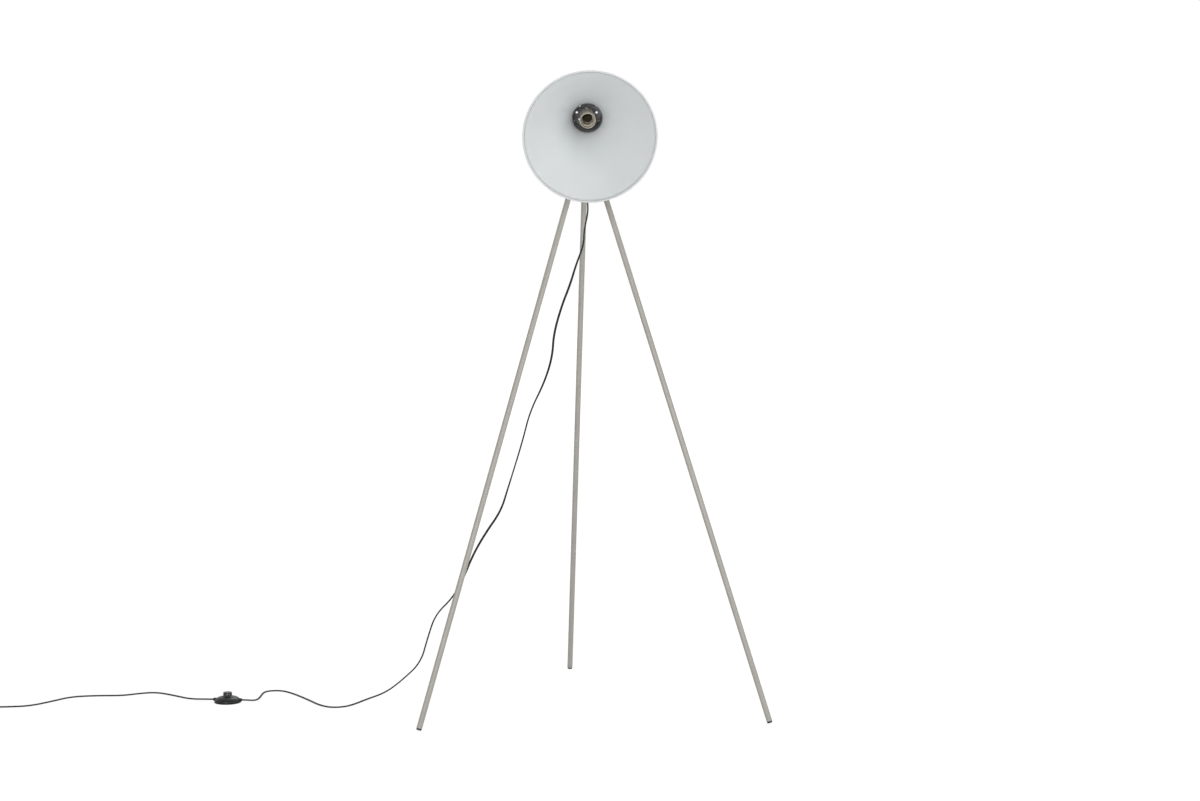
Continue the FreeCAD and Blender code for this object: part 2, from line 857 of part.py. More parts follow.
core_radius = holder_diameter / 2 - holder_wall - core_clearance
shell_outer_radius = screw_shell_bore / 2 + screw_shell_wall
core_back = holder_mouth - core_back_from_mouth
core_floor = holder_mouth - core_floor_from_mouth
core_ledge = holder_mouth - core_ledge_from_mouth
core_front = holder_mouth - core_recess


def holder_core():
    well = core_well_diameter / 2
    bore = shell_outer_radius + thread_clearance
    core = turned([
        (0, core_back),
        (core_radius, core_back),
        (core_radius, core_front),
        (bore, core_front),
        (bore, core_ledge),
        (well, core_ledge),
        (well, core_floor),
        (0, core_floor),
    ])
    for side in (-1, 1):
        inner = side * (bore + core_slot_wall)
        outer = side * holder_diameter
        low = V(min(inner, outer), -core_slot_width / 2, core_front - core_slot_depth)
        high = V(max(inner, outer), core_slot_width / 2, core_front)
        slot = block(low, high)
        core = core.cut(put(slot, FreeCAD.Placement(centre, turn(along_z, core_slot_turn))))
    return put(core, head_frame)


def screw_shell():
    return put(ring(screw_shell_bore / 2, shell_outer_radius, core_ledge, core_front), head_frame)


def centre_contact():
    """Spring tongue on the floor of the well, bent back over itself."""
    half = contact_length / 2
    top = core_floor + contact_rise
    outline = [
        V(-half, 0, core_floor),
        V(half, 0, core_floor),
        V(half, 0, top),
        V(-half + 2 * contact_thickness, 0, top),
        V(-half + 2 * contact_thickness, 0, top - contact_thickness),
        V(half - contact_thickness, 0, top - contact_thickness),
        V(half - contact_thickness, 0, core_floor + contact_thickness),
        V(-half, 0, core_floor + contact_thickness),
    ]
    strip = Part.Face(Part.makePolygon(outline + outline[:1])).extrude(V(0, contact_width, 0))
    strip.translate(V(0, -contact_width / 2, 0))
    return put(strip, head_frame)


def holder_terminals():
    blocks = []
    for side in (-1, 1):
        middle = V(side * terminal_offset, 0, core_back - terminal_size.z / 2)
        blocks.append(block(middle - terminal_size / 2, middle + terminal_size / 2))
    return put(Part.makeCompound(blocks), head_frame)


def corner_arc(first, corner, last):
    """Arc from first to last, tangent to the lines from both to the corner, and its radius."""
    inward = (first - corner).normalize()
    outward = (last - corner).normalize()
    half_turn = (math.pi - inward.getAngle(outward)) / 2
    radius = (first - corner).Length / math.tan(half_turn)
    to_centre = (inward + outward).normalize()
    middle = corner + to_centre * (radius / math.cos(half_turn) - radius)
    return Part.Arc(first, middle, last).toShape(), radius


def rounded_route(points):
    """Edges of straight runs joined by arcs as large as the runs allow, and the arcs' radii."""
    edges = []
    radii = []
    start = points[0]
    for before, corner, after in zip(points, points[1:], points[2:]):
        share = arc_share * min((before - corner).Length, (after - corner).Length)
        first = corner + (before - corner).normalize() * share
        last = corner + (after - corner).normalize() * share
        arc, radius = corner_arc(first, corner, last)
        edges.append(Part.LineSegment(start, first).toShape())
        edges.append(arc)
        radii.append(radius)
        start = last
    edges.append(Part.LineSegment(start, points[-1]).toShape())
    return edges, radii


def tube_along(edges, radius, start, direction):
    """Round bar swept along tangent edges."""
    spine = Part.Wire(edges)
    section = Part.Wire(Part.Circle(start, direction, radius).toShape())
    bar = spine.makePipeShell([section], True, False)
    return bar, spine.Length


def holder_wires():
    ends = nipple_end - wire_start_in_nipple
    top = core_back - terminal_size.z
    wires = []
    for side in (-1, 1):
        points = [
            V(side * wire_offset, 0, ends),
            V(side * wire_offset, 0, nipple_end),
            V(side * terminal_offset, 0, top - wire_diameter),
            V(side * terminal_offset, 0, top),
        ]
        edges, _ = rounded_route(points)
        wires.append(tube_along(edges, wire_diameter / 2, points[0], along_z)[0])
    return put(Part.makeCompound(wires), head_frame)


def dome_outline(offset):
    """Outline of the cover's dome, from its rim to its collar, drawn in by an offset."""
    rim = V(switch_rim_diameter / 2 - offset, 0, switch_rim_top)
    top = V(switch_collar_diameter / 2, 0, switch_top - offset)
    chord = top - rim
    bulge = V(-chord.z, 0, chord.x).normalize() * -switch_dome_bulge
    return rim, (rim + top) * 0.5 + bulge, top


def dome_body(offset, bottom):
    """Solid under the dome's outline."""
    rim, middle, top = dome_outline(offset)
    edges = [
        Part.LineSegment(V(0, 0, bottom), V(rim.x, 0, bottom)).toShape(),
        Part.LineSegment(V(rim.x, 0, bottom), rim).toShape(),
        Part.Arc(rim, middle, top).toShape(),
        Part.LineSegment(top, V(0, 0, top.z)).toShape(),
        Part.LineSegment(V(0, 0, top.z), V(0, 0, bottom)).toShape(),
    ]
    return turned_edges(edges)


def switch_screw_places():
    places = []
    for angle in switch_screw_angles:
        way = V(math.cos(math.radians(angle)), math.sin(math.radians(angle)), 0)
        places.append(way * switch_screw_circle_radius)
    return places


def switch_base():
    lip_outer = switch_rim_diameter / 2 - switch_wall - switch_lip_clearance
    lip_top = switch_base_thickness + switch_lip_height
    base = turned([
        (0, 0),
        (switch_base_diameter / 2, 0),
        (switch_base_diameter / 2, switch_base_thickness),
        (lip_outer, switch_base_thickness),
        (lip_outer, lip_top),
        (lip_outer - switch_lip_wall, lip_top),
        (lip_outer - switch_lip_wall, switch_base_thickness),
        (0, switch_base_thickness),
    ])
    for place in switch_screw_places():
        head_radius = switch_screw_head_diameter / 2 + thread_clearance
        shaft_radius = switch_screw_diameter / 2 + thread_clearance
        head = Part.makeCylinder(head_radius, switch_screw_head_height, place)
        shaft = Part.makeCylinder(shaft_radius, switch_base_thickness, place)
        base = base.cut([head, shaft])
    return put(base, switch_frame)


def switch_cover():
    outside = dome_body(0, switch_base_thickness)
    hollow = dome_body(switch_wall, switch_base_thickness)
    ends = V(nozzle_reach, 0, 0)
    middle = V(0, 0, nozzle_height)
    nozzles = rod(nozzle_diameter / 2, middle - ends, middle + ends)
    hole_radius = button_diameter / 2 + button_clearance
    collar = turned([
        (hole_radius, switch_top - switch_wall),
        (switch_collar_diameter / 2, switch_top),
        (hole_radius + switch_collar_wall, switch_top + switch_collar_height),
        (hole_radius, switch_top + switch_collar_height),
    ])
    cover = outside.fuse(nozzles).cut(hollow).fuse(collar)
    for place in switch_screw_places():
        post = Part.makeCylinder(switch_post_diameter / 2, switch_top, place + V(0, 0, switch_base_thickness))
        cover = cover.fuse(post.common(outside))
        hole = Part.makeCylinder(switch_screw_diameter / 2 + thread_clearance, switch_screw_length, place)
        cover = cover.cut(hole)
    cover = cover.cut(Part.makeCylinder(hole_radius, switch_top * 2))
    return put(cover.removeSplitter(), switch_frame)


def switch_block():
    low = V(-block_size.x / 2, -block_size.y / 2, switch_base_thickness)
    return put(block(low, low + block_size), switch_frame)


def switch_terminals():
    blocks = []
    for side in (-1, 1):
        middle = V(side * switch_terminal_offset, 0, switch_base_thickness + switch_terminal_size.z / 2)
        blocks.append(block(middle - switch_terminal_size / 2, middle + switch_terminal_size / 2))
    return put(Part.makeCompound(blocks), switch_frame)


def switch_screws():
    screws = []
    for place in switch_screw_places():
        head = Part.makeCylinder(switch_screw_head_diameter / 2, switch_screw_head_height, place)
        shaft = Part.makeCylinder(switch_screw_diameter / 2, switch_screw_length, place)
        screws.append(head.fuse(shaft))
    return put(Part.makeCompound(screws), switch_frame)


flange_top = switch_top - switch_wall - button_flange_clearance
flange_bottom = flange_top - button_flange_thickness
spring_seat = switch_base_thickness + block_size.z
button_inside_top = button_top - button_roof


def switch_button():
    outer = button_diameter / 2
    button = turned([
        (button_bore / 2, flange_bottom),
        (button_flange_diameter / 2, flange_bottom),
        (button_flange_diameter / 2, flange_top),
        (outer, flange_top),
        (outer, button_top - button_edge),
        (outer - button_edge, button_top),
        (0, button_top),
        (0, button_inside_top),
        (button_bore / 2, button_inside_top),
    ])
    return put(button, switch_frame)


def biarc(start, start_way, end, end_way):
    """Two tangent arcs that join two points, with the given unit tangents."""
    chord = end - start
    ways = start_way + end_way
    slack = 2 * (1 - start_way.dot(end_way))
    root = math.sqrt(chord.dot(ways) ** 2 + slack * chord.dot(chord))
    size = (root - chord.dot(ways)) / slack
    first_corner = start + start_way * size
    last_corner = end - end_way * size
    joint = (first_corner + last_corner) * 0.5
    return [corner_arc(start, first_corner, joint)[0], corner_arc(joint, last_corner, end)[0]]


def wound_edges(nodes):
    """Biarcs through (point, tangent) pairs."""
    edges = []
    for (start, start_way), (end, end_way) in zip(nodes, nodes[1:]):
        edges += biarc(start, start_way, end, end_way)
    return edges


def switch_spring():
    radius = (switch_spring_diameter - switch_spring_wire) / 2
    low = spring_seat + switch_spring_wire / 2
    high = button_inside_top - switch_spring_wire / 2
    steps = 4 * switch_spring_turns
    nodes = []
    for index in range(steps + 1):
        angle = math.pi / 2 * index
        point = V(radius * math.cos(angle), radius * math.sin(angle), low + (high - low) * index / steps)
        rise = (high - low) / (switch_spring_turns * 2 * math.pi * radius)
        nodes.append((point, V(-math.sin(angle), math.cos(angle), rise).normalize()))
    wire, _ = tube_along(wound_edges(nodes), switch_spring_wire / 2, nodes[0][0], nodes[0][1])
    return put(wire, switch_frame)


def switch_end(side):
    """Point where a cord meets one of the switch's nozzles, and the way out of it."""
    way = switch_frame.Rotation.multVec(V(side, 0, 0))
    return switch_frame.multVec(V(side * nozzle_reach, 0, nozzle_height)), way


def report_tube(name, bar, length, radii):
    section = math.pi * cord_radius ** 2
    rounded = [round(radius) for radius in radii]
    print(f"{name}: length {length:.0f}, volume over section times length {bar.Volume / section / length:.4f}")
    print(f"  smallest arc {min(radii):.1f}, all {rounded}")


def cord_upper():
    """From the gland down through the tripod and over the floor to the switch."""
    exit_point = V(0, 0, gland_bottom)
    entry, out_of_switch = switch_end(-1)
    points = [exit_point, exit_point - V(0, 0, gland_lead)]
    points += upper_cord_points
    points += [entry + out_of_switch * switch_lead, entry]
    edges, radii = rounded_route(points)
    bar, length = tube_along(edges, cord_radius, exit_point, along_z)
    report_tube("cord_upper", bar, length, radii)
    return bar


coil_height = tie_thickness + cord_radius
coil_join = coil_position + V(coil_lead, -coil_outer_radius, coil_height)


def cord_lower():
    """From the switch over the floor to the start of the coil."""
    exit_point, out_of_switch = switch_end(1)
    points = [exit_point, exit_point + out_of_switch * switch_lead]
    points += lower_cord_points
    points += [coil_join]
    edges, radii = rounded_route(points)
    bar, length = tube_along(edges, cord_radius, exit_point, out_of_switch)
    report_tube("cord_lower", bar, length, radii)
    return bar


def coil_nodes():
    """Points and tangents each quarter turn: spiral in, climb a layer, spiral out."""
    nodes = []
    quarters = quarter_turns_in + quarter_turns_out
    slope = coil_pitch / (2 * math.pi * coil_outer_radius)
    climb_start = quarter_turns_in - 1
    for index in range(quarters + 1):
        angle = -math.pi / 2 * (index + 1)
        inward = min(index, 2 * quarter_turns_in - index)
        radius = coil_outer_radius - coil_pitch * inward / 4
        climbed = min(max((index - climb_start) / 2, 0), 1)
        outwards = V(math.cos(angle), math.sin(angle), 0)
        forwards = V(math.sin(angle), -math.cos(angle), 0)
        sway = slope if index > quarter_turns_in else -slope
        rise = coil_layer_step / (math.pi * radius) * math.pi / 2
        if index in (0, quarter_turns_in, quarters):
            sway = 0
        if index != quarter_turns_in:
            rise = 0
        point = coil_position + outwards * radius + V(0, 0, coil_height + coil_layer_step * climbed)
        nodes.append((point, (forwards + outwards * sway + V(0, 0, rise)).normalize()))
    return nodes


plug_height = plug_thickness / 2


def tail_points():
    """From the last turn of the coil to the boot of the plug."""
    end, way = coil_nodes()[-1]
    drop = V(0, 0, plug_height - end.z)
    level = end + way * coil_tail_length
    low = level + way * tail_drop_length + drop
    return [end, level, low, low + way * tail_end_length]


def least_self_gap(edges):
    """Least gap between parts of a wound bar that are more than a third of a turn apart."""
    spine = Part.Wire(edges)
    points = spine.discretize(Distance=2.0)
    apart = int(2 * coil_outer_radius / 2.0)
    least = math.inf
    for index, point in enumerate(points):
        for other in points[index + apart:]:
            least = min(least, point.distanceToPoint(other))
    return least - cord_diameter


def cord_coil():
    nodes = coil_nodes()
    lead = Part.LineSegment(coil_join, nodes[0][0]).toShape()
    tail_edges, _ = rounded_route(tail_points())
    edges = [lead] + wound_edges(nodes) + tail_edges
    bar, length = tube_along(edges, cord_radius, coil_join, -along_x)
    print(f"cord_coil: least gap to itself {least_self_gap(edges):.2f}")
    report_tube("cord_coil", bar, length, [coil_outer_radius - coil_pitch * quarter_turns_in / 4])
    return bar


def coil_tie():
    """Flat band round the bundle of turns. The coil lies on it."""
    inner = coil_outer_radius - coil_pitch * quarter_turns_in / 4 - cord_radius - tie_slack
    outer = coil_outer_radius + coil_pitch * (quarter_turns_out - quarter_turns_in) / 4 + cord_radius + tie_slack
    top = tie_thickness + cord_diameter + coil_layer_step + tie_slack
    low = V(inner - tie_thickness, -tie_width / 2, 0)
    high = V(outer + tie_thickness, tie_width / 2, top + tie_thickness)
    band = block(low, high)
    band = band.cut(block(V(inner, -tie_width / 2, tie_thickness), V(outer, tie_width / 2, top)))
    return put(band, FreeCAD.Placement(coil_position, turn(along_z, tie_angle)))


# X runs from the boot to the pins, Z upwards
plug_frame = FreeCAD.Placement(tail_points()[-1], turn(along_z, 90))


def plug_section(distance, width, thickness, corner):
    """Outline of the plug across X, with its four corners cut."""
    half_width = width / 2
    half_height = thickness / 2
    corners = []
    for side, level in ((1, 1), (-1, 1), (-1, -1), (1, -1)):
        beside = V(distance, side * (half_width - corner), level * half_height)
        under = V(distance, side * half_width, level * (half_height - corner))
        corners += [under, beside] if side == level else [beside, under]
    return Part.makePolygon(corners + corners[:1])


def plug_body():
    shoulder = boot_length + plug_shoulder_length
    back = plug_section(boot_length, plug_back_width, plug_back_thickness, plug_back_corner)
    front = plug_section(shoulder, plug_width, plug_thickness, plug_corner)
    wedge = Part.makeLoft([back, front], True, True)
    face = Part.Face(plug_section(shoulder, plug_width, plug_thickness, plug_corner))
    return put(wedge.fuse(face.extrude(V(plug_face_length, 0, 0))).removeSplitter(), plug_frame)


def plug_pins():
    face = boot_length + plug_shoulder_length + plug_face_length
    radius = pin_diameter / 2
    pins = []
    for side in (-1, 1):
        start = V(face, side * pin_spacing / 2, 0)
        end = V(face + pin_length - radius, side * pin_spacing / 2, 0)
        pins.append(rod(radius, start, end).fuse(Part.makeSphere(radius, end)).removeSplitter())
    return put(Part.makeCompound(pins), plug_frame)


def plug_boot():
    small = boot_small_diameter / 2
    big = boot_big_diameter / 2
    shape = turned([(0, 0), (small, 0), (big, boot_length), (0, boot_length)])
    return put(put(shape, bolt_turn), plug_frame)


def lamp_shapes():
    """The lamp without its mains cord, by node name."""
    shapes = {}
    for name, angle in leg_angles.items():
        shapes["leg_tube_" + name] = leg_tube(angle)
        shapes["foot_plug_" + name] = foot_plug(angle)
    shapes["leg_studs"] = Part.makeCompound([leg_stud(angle) for angle in leg_angles.values()])
    makers = [
        leg_hub, threaded_tube, hub_washer, hub_nut, stem_tube, swivel_base, pan_washer,
        cord_gland, gland_screw, cord_inside_stem,
        swivel_fork, pan_screw, clamp_bolt, friction_washers, knob_washer, spring_washer,
        tilt_knob, knob_insert,
        head_arm, head_nipple, cord_inside_head, cup_washer, cup_nut, socket_cup, shade, shade_screws,
        holder_nut, holder_cap, holder_body, holder_core, screw_shell, centre_contact,
        holder_terminals, holder_wires,
    ]
    for maker in makers:
        shapes[maker.__name__] = maker()
    return shapes


def cord_shapes():
    """The mains cord and what is on it, by node name."""
    makers = [
        cord_upper, cord_lower, cord_coil, coil_tie, plug_body, plug_pins, plug_boot,
        switch_base, switch_cover, switch_block, switch_terminals, switch_screws, switch_spring,
        switch_button,
    ]
    return {maker.__name__: maker() for maker in makers}


def to_origin(shapes):
    """Move that centres the lamp over the origin."""
    box = Part.makeCompound(list(shapes.values())).optimalBoundingBox(False, False)
    return V(-(box.XMin + box.XMax) / 2, -(box.YMin + box.YMax) / 2, 0)


lamp = lamp_shapes()
frame_move = to_origin(lamp)
os.makedirs("parts", exist_ok=True)
for node, shape in {**lamp, **cord_shapes()}.items():
    placed = shape.copy()
    placed.translate(frame_move)
    placed.exportStep(os.path.join("parts", node + ".step"))
print(f"moved by {frame_move.x:.3f}, {frame_move.y:.3f}")
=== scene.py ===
import json
import math

import bmesh
import bpy
from mathutils import Matrix, Vector


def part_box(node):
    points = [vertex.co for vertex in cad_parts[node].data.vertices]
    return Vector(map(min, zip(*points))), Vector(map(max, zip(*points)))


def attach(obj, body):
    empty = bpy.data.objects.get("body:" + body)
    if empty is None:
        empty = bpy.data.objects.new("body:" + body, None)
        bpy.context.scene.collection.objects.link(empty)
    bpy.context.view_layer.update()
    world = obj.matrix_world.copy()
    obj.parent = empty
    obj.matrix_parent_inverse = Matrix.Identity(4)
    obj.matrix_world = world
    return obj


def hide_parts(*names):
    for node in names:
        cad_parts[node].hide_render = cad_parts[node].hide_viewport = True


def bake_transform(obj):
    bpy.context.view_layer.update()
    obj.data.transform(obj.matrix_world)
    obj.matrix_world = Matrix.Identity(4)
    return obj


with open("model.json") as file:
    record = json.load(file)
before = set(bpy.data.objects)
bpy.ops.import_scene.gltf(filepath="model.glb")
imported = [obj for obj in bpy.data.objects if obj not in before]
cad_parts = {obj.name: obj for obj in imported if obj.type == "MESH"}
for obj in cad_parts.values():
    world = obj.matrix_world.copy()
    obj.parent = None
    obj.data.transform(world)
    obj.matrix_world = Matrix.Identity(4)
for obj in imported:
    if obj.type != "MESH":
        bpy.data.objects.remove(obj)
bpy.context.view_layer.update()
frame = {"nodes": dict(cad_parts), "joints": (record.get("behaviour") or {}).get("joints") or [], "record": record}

# Tripod spotlight floor lamp. Metres throughout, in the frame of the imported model.
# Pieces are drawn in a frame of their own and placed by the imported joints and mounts.

record = frame["record"]
slotOf = {part["node"]: part["material_slot"] for part in record["subparts"]}
bodyOf = {node: body for body, nodes in record["behaviour"]["bodies"].items() for node in nodes}
jointOf = {joint["name"]: joint for joint in frame["joints"]}
mountOf = {mount["name"]: mount for mount in record["mounts"]}

panPlace = Vector(jointOf["head_pan"]["pos_m"])
pivot = Vector(jointOf["head_tilt"]["pos_m"])
boltWay = Vector(jointOf["head_tilt"]["axis"])
shadeWay = Vector(mountOf["lamp_socket"]["axis"])
onFloor = Vector((panPlace.x, panPlace.y, 0.0))    # under the hub


def standingFrame(origin, xWay, yWay, zWay):
    return Matrix.Translation(origin) @ Matrix((xWay, yWay, zWay)).transposed().to_4x4()


headFrame = standingFrame(pivot, boltWay, shadeWay.cross(boltWay), shadeWay)    # z towards the shade's mouth
print("frame loaded:", len(frame["nodes"]), "nodes")


def boxIn(node, place):
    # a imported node's low and high corner, in the frame that its piece is drawn in
    back = place.inverted()
    corners = [back @ vert.co for vert in frame["nodes"][node].data.vertices]
    low = Vector([min(corner[axis] for corner in corners) for axis in range(3)])
    high = Vector([max(corner[axis] for corner in corners) for axis in range(3)])
    return low, high


view = {
    "focalLength": 70.0,
    "sensorWidth": 36.0,
    "place": Vector((-0.4991, -5.4571, 1.155)),    # from the floor under the hub
    "turn": -5.566,
    "dip": 4.446,
    "clipEnd": 60.0,
}
cameraData = bpy.data.cameras.new("photoCamera")
cameraData.lens = view["focalLength"]
cameraData.sensor_width = view["sensorWidth"]
cameraData.sensor_fit = "HORIZONTAL"
cameraData.clip_end = view["clipEnd"]
camera = bpy.data.objects.new("photoCamera", cameraData)
bpy.context.scene.collection.objects.link(camera)
camera.location = onFloor + view["place"]
camera.rotation_euler = (math.radians(90 - view["dip"]), 0, math.radians(view["turn"]))
bpy.context.scene.camera = camera
bpy.context.scene.view_settings.view_transform = "Standard"

studio = {
    "worldGrey": 0.80,
    "worldStrength": 0.31,
    "floorGrey": 0.80,
    "floorShadowGrey": 0.34,    # how much of the lamp's shadow the camera sees
    "floorGlow": (0.85, 1.0),    # near the lamp, and far off
    "floorGlowReach": (2.0, 8.0),
    "floorSize": 60.0,
    "lampSize": 2.4,
    "lamps": [    # where it stands, the height it is aimed at, watts
        (Vector((-1.6, -5.8, 1.4)), 1.1, 152),
        (Vector((4.0, -3.6, 1.6)), 1.1, 64),
        (Vector((0.4, 3.2, 3.6)), 0.8, 44),
    ],
}


def addNode(tree, kind, **settings):
    node = tree.nodes.new(kind)
    for name, value in settings.items():
        setattr(node, name, value)
    return node


def mapRange(tree, value, fromRange, toRange, **settings):
    spread = addNode(tree, "ShaderNodeMapRange", **settings)
    for name, reach in {"From": fromRange, "To": toRange}.items():
        for end, number in zip(("Min", "Max"), reach):
            spread.inputs[f"{name} {end}"].default_value = number
    tree.links.new(value, spread.inputs["Value"])
    return spread.outputs["Result"]


def seenRay(tree):
    # 1 where the camera, a reflection or a clear material looks
    path = addNode(tree, "ShaderNodeLightPath")
    seen = path.outputs["Is Camera Ray"]
    for other in ("Is Glossy Ray", "Is Transmission Ray"):
        larger = addNode(tree, "ShaderNodeMath", operation="MAXIMUM")
        tree.links.new(seen, larger.inputs[0])
        tree.links.new(path.outputs[other], larger.inputs[1])
        seen = larger.outputs[0]
    return seen


def makeWorld():
    world = bpy.data.worlds.new("studio")
    bpy.context.scene.world = world
    world.use_nodes = True
    tree = world.node_tree
    light = tree.nodes["Background"]
    light.inputs["Color"].default_value = (*[studio["worldGrey"]] * 3, 1)
    light.inputs["Strength"].default_value = studio["worldStrength"]
    white = addNode(tree, "ShaderNodeBackground")
    white.inputs["Color"].default_value = (1, 1, 1, 1)
    white.inputs["Strength"].default_value = 1.0
    mix = addNode(tree, "ShaderNodeMixShader")
    tree.links.new(seenRay(tree), mix.inputs[0])
    tree.links.new(light.outputs[0], mix.inputs[1])
    tree.links.new(white.outputs[0], mix.inputs[2])
    tree.links.new(mix.outputs[0], tree.nodes["World Output"].inputs["Surface"])


def floorMaterial():
    # white all the way to the horizon where it is seen, with the lamp's shadow faint on it
    material = bpy.data.materials.new("floorWhite")
    material.use_nodes = True
    tree = material.node_tree
    tree.nodes.clear()
    pale = addNode(tree, "ShaderNodeBsdfDiffuse")
    pale.inputs["Color"].default_value = (*[studio["floorGrey"]] * 3, 1)
    shadowed = addNode(tree, "ShaderNodeBsdfDiffuse")
    shadowed.inputs["Color"].default_value = (*[studio["floorShadowGrey"]] * 3, 1)
    coords = addNode(tree, "ShaderNodeTexCoord")
    distance = addNode(tree, "ShaderNodeVectorMath", operation="LENGTH")
    strength = mapRange(tree, distance.outputs["Value"], studio["floorGlowReach"], studio["floorGlow"],
                        interpolation_type="SMOOTHSTEP")
    glow = addNode(tree, "ShaderNodeEmission")
    both = addNode(tree, "ShaderNodeAddShader")
    mix = addNode(tree, "ShaderNodeMixShader")
    output = addNode(tree, "ShaderNodeOutputMaterial")
    tree.links.new(coords.outputs["Object"], distance.inputs[0])
    tree.links.new(strength, glow.inputs["Strength"])
    tree.links.new(shadowed.outputs[0], both.inputs[0])
    tree.links.new(glow.outputs[0], both.inputs[1])
    tree.links.new(seenRay(tree), mix.inputs[0])
    tree.links.new(pale.outputs[0], mix.inputs[1])
    tree.links.new(both.outputs[0], mix.inputs[2])
    tree.links.new(mix.outputs[0], output.inputs["Surface"])
    return material


def makeFloor():
    bm = bmesh.new()
    bmesh.ops.create_grid(bm, x_segments=1, y_segments=1, size=studio["floorSize"] / 2)
    mesh = bpy.data.meshes.new("floorPlane")
    bm.to_mesh(mesh)
    bm.free()
    floor = bpy.data.objects.new("floorPlane", mesh)
    floor.location = onFloor
    bpy.context.scene.collection.objects.link(floor)
    mesh.materials.append(floorMaterial())


def makeLamps():
    for number, (place, height, watts) in enumerate(studio["lamps"]):
        data = bpy.data.lights.new(f"softLamp{number}", "AREA")
        data.shape = "DISK"
        data.size = studio["lampSize"]
        data.energy = watts
        lamp = bpy.data.objects.new(f"softLamp{number}", data)
        bpy.context.scene.collection.objects.link(lamp)
        lamp.location = onFloor + place
        lamp.rotation_euler = (Vector((0, 0, height)) - place).to_track_quat("-Z", "Y").to_euler()


makeWorld()
makeFloor()
makeLamps()
print("camera and light ready")


def startMaterial(name, colour, roughness, metallic=0.0, specular=0.5):
    material = bpy.data.materials.new(name)
    material.use_nodes = True
    tree = material.node_tree
    shader = tree.nodes["Principled BSDF"]
    shader.inputs["Base Color"].default_value = (*colour, 1)
    shader.inputs["Roughness"].default_value = roughness
    shader.inputs["Metallic"].default_value = metallic
    shader.inputs["Specular IOR Level"].default_value = specular
    return material, tree, shader


noiseReach = (0.3, 0.7)    # where most values of the noise lie
tintReach = (0.35, 0.65)


def grain(tree, scale, detail, stretch=(1, 1, 1)):
    # noise on the piece's own coordinates
    coords = addNode(tree, "ShaderNodeTexCoord")
    mapping = addNode(tree, "ShaderNodeMapping")
    mapping.inputs["Scale"].default_value = stretch
    noise = addNode(tree, "ShaderNodeTexNoise")
    noise.inputs["Scale"].default_value = scale
    noise.inputs["Detail"].default_value = detail
    tree.links.new(coords.outputs["Object"], mapping.inputs["Vector"])
    tree.links.new(mapping.outputs["Vector"], noise.inputs["Vector"])
    return noise.outputs["Fac"]


def alongGrain(tree, scale, detail):
    # noise on the distance along a turned outline, the same all the way round
    along = addNode(tree, "ShaderNodeAttribute", attribute_name="along")
    noise = addNode(tree, "ShaderNodeTexNoise", noise_dimensions="1D")
    noise.inputs["Scale"].default_value = scale
    noise.inputs["Detail"].default_value = detail
    tree.links.new(along.outputs["Fac"], noise.inputs["W"])
    return noise.outputs["Fac"]


def tinted(tree, shader, fac, colour, shades, reach=tintReach):
    # from the colour times the first shade to the colour times the second
    ramp = addNode(tree, "ShaderNodeValToRGB")
    for stop, shade, place in zip(ramp.color_ramp.elements, shades, reach):
        stop.position = place
        stop.color = (*[channel * shade for channel in colour], 1)
    tree.links.new(fac, ramp.inputs["Fac"])
    tree.links.new(ramp.outputs["Color"], shader.inputs["Base Color"])


def roughened(tree, shader, fac, roughness, sheen):
    # sheen: how far below and above the roughness it goes
    ends = [roughness + change for change in sheen]
    tree.links.new(mapRange(tree, fac, noiseReach, ends), shader.inputs["Roughness"])


def bumped(tree, shader, heights):
    # heights: (noise, strength, distance in metres), laid over each other
    normal = None
    for fac, strength, distance in heights:
        bump = addNode(tree, "ShaderNodeBump")
        bump.inputs["Strength"].default_value = strength
        bump.inputs["Distance"].default_value = distance
        tree.links.new(fac, bump.inputs["Height"])
        if normal:
            tree.links.new(normal, bump.inputs["Normal"])
        normal = bump.outputs["Normal"]
    tree.links.new(normal, shader.inputs["Normal"])


paintLook = {
    "mottleScale": 28,
    "mottleShade": (0.96, 1.03),
    "sheenScale": 160,
    "sheen": (-0.05, 0.07),
    "peelScales": (1100, 420),
    "peelHeights": (0.00003, 0.00004),
}


def powderCoat(name, colour, roughness=0.42, peel=0.15):
    # sprayed paint: fine orange peel, faint mottling
    look = paintLook
    material, tree, shader = startMaterial(name, colour, roughness)
    tinted(tree, shader, grain(tree, look["mottleScale"], 4), colour, look["mottleShade"])
    roughened(tree, shader, grain(tree, look["sheenScale"], 3), roughness, look["sheen"])
    bumped(tree, shader, [(grain(tree, scale, 2), peel, height)
                          for scale, height in zip(look["peelScales"], look["peelHeights"])])
    return material


spunLook = {
    "mottleScale": 9,
    "mottleShade": (0.975, 1.01),
    "sheenScale": 120,
    "sheen": (-0.04, 0.08),
    "ringScale": 260,
    "ringBump": (0.10, 0.00008),
    "peelScale": 1300,
    "peelBump": (0.18, 0.00005),
}


def spunPaint(name, colour, roughness=0.5):
    # white paint over spun sheet: the faintest rings under the paint
    look = spunLook
    material, tree, shader = startMaterial(name, colour, roughness)
    tinted(tree, shader, grain(tree, look["mottleScale"], 3), colour, look["mottleShade"])
    roughened(tree, shader, grain(tree, look["sheenScale"], 3), roughness, look["sheen"])
    rings = alongGrain(tree, look["ringScale"], 5)
    peel = grain(tree, look["peelScale"], 2)
    bumped(tree, shader, [(rings, *look["ringBump"]), (peel, *look["peelBump"])])
    return material


mouldLook = {
    "mottleScale": 60,
    "mottleShade": (0.85, 1.2),
    "sheenScale": 300,
    "sheen": (-0.06, 0.08),
    "textureScale": 2600,
    "textureHeight": 0.00008,
}


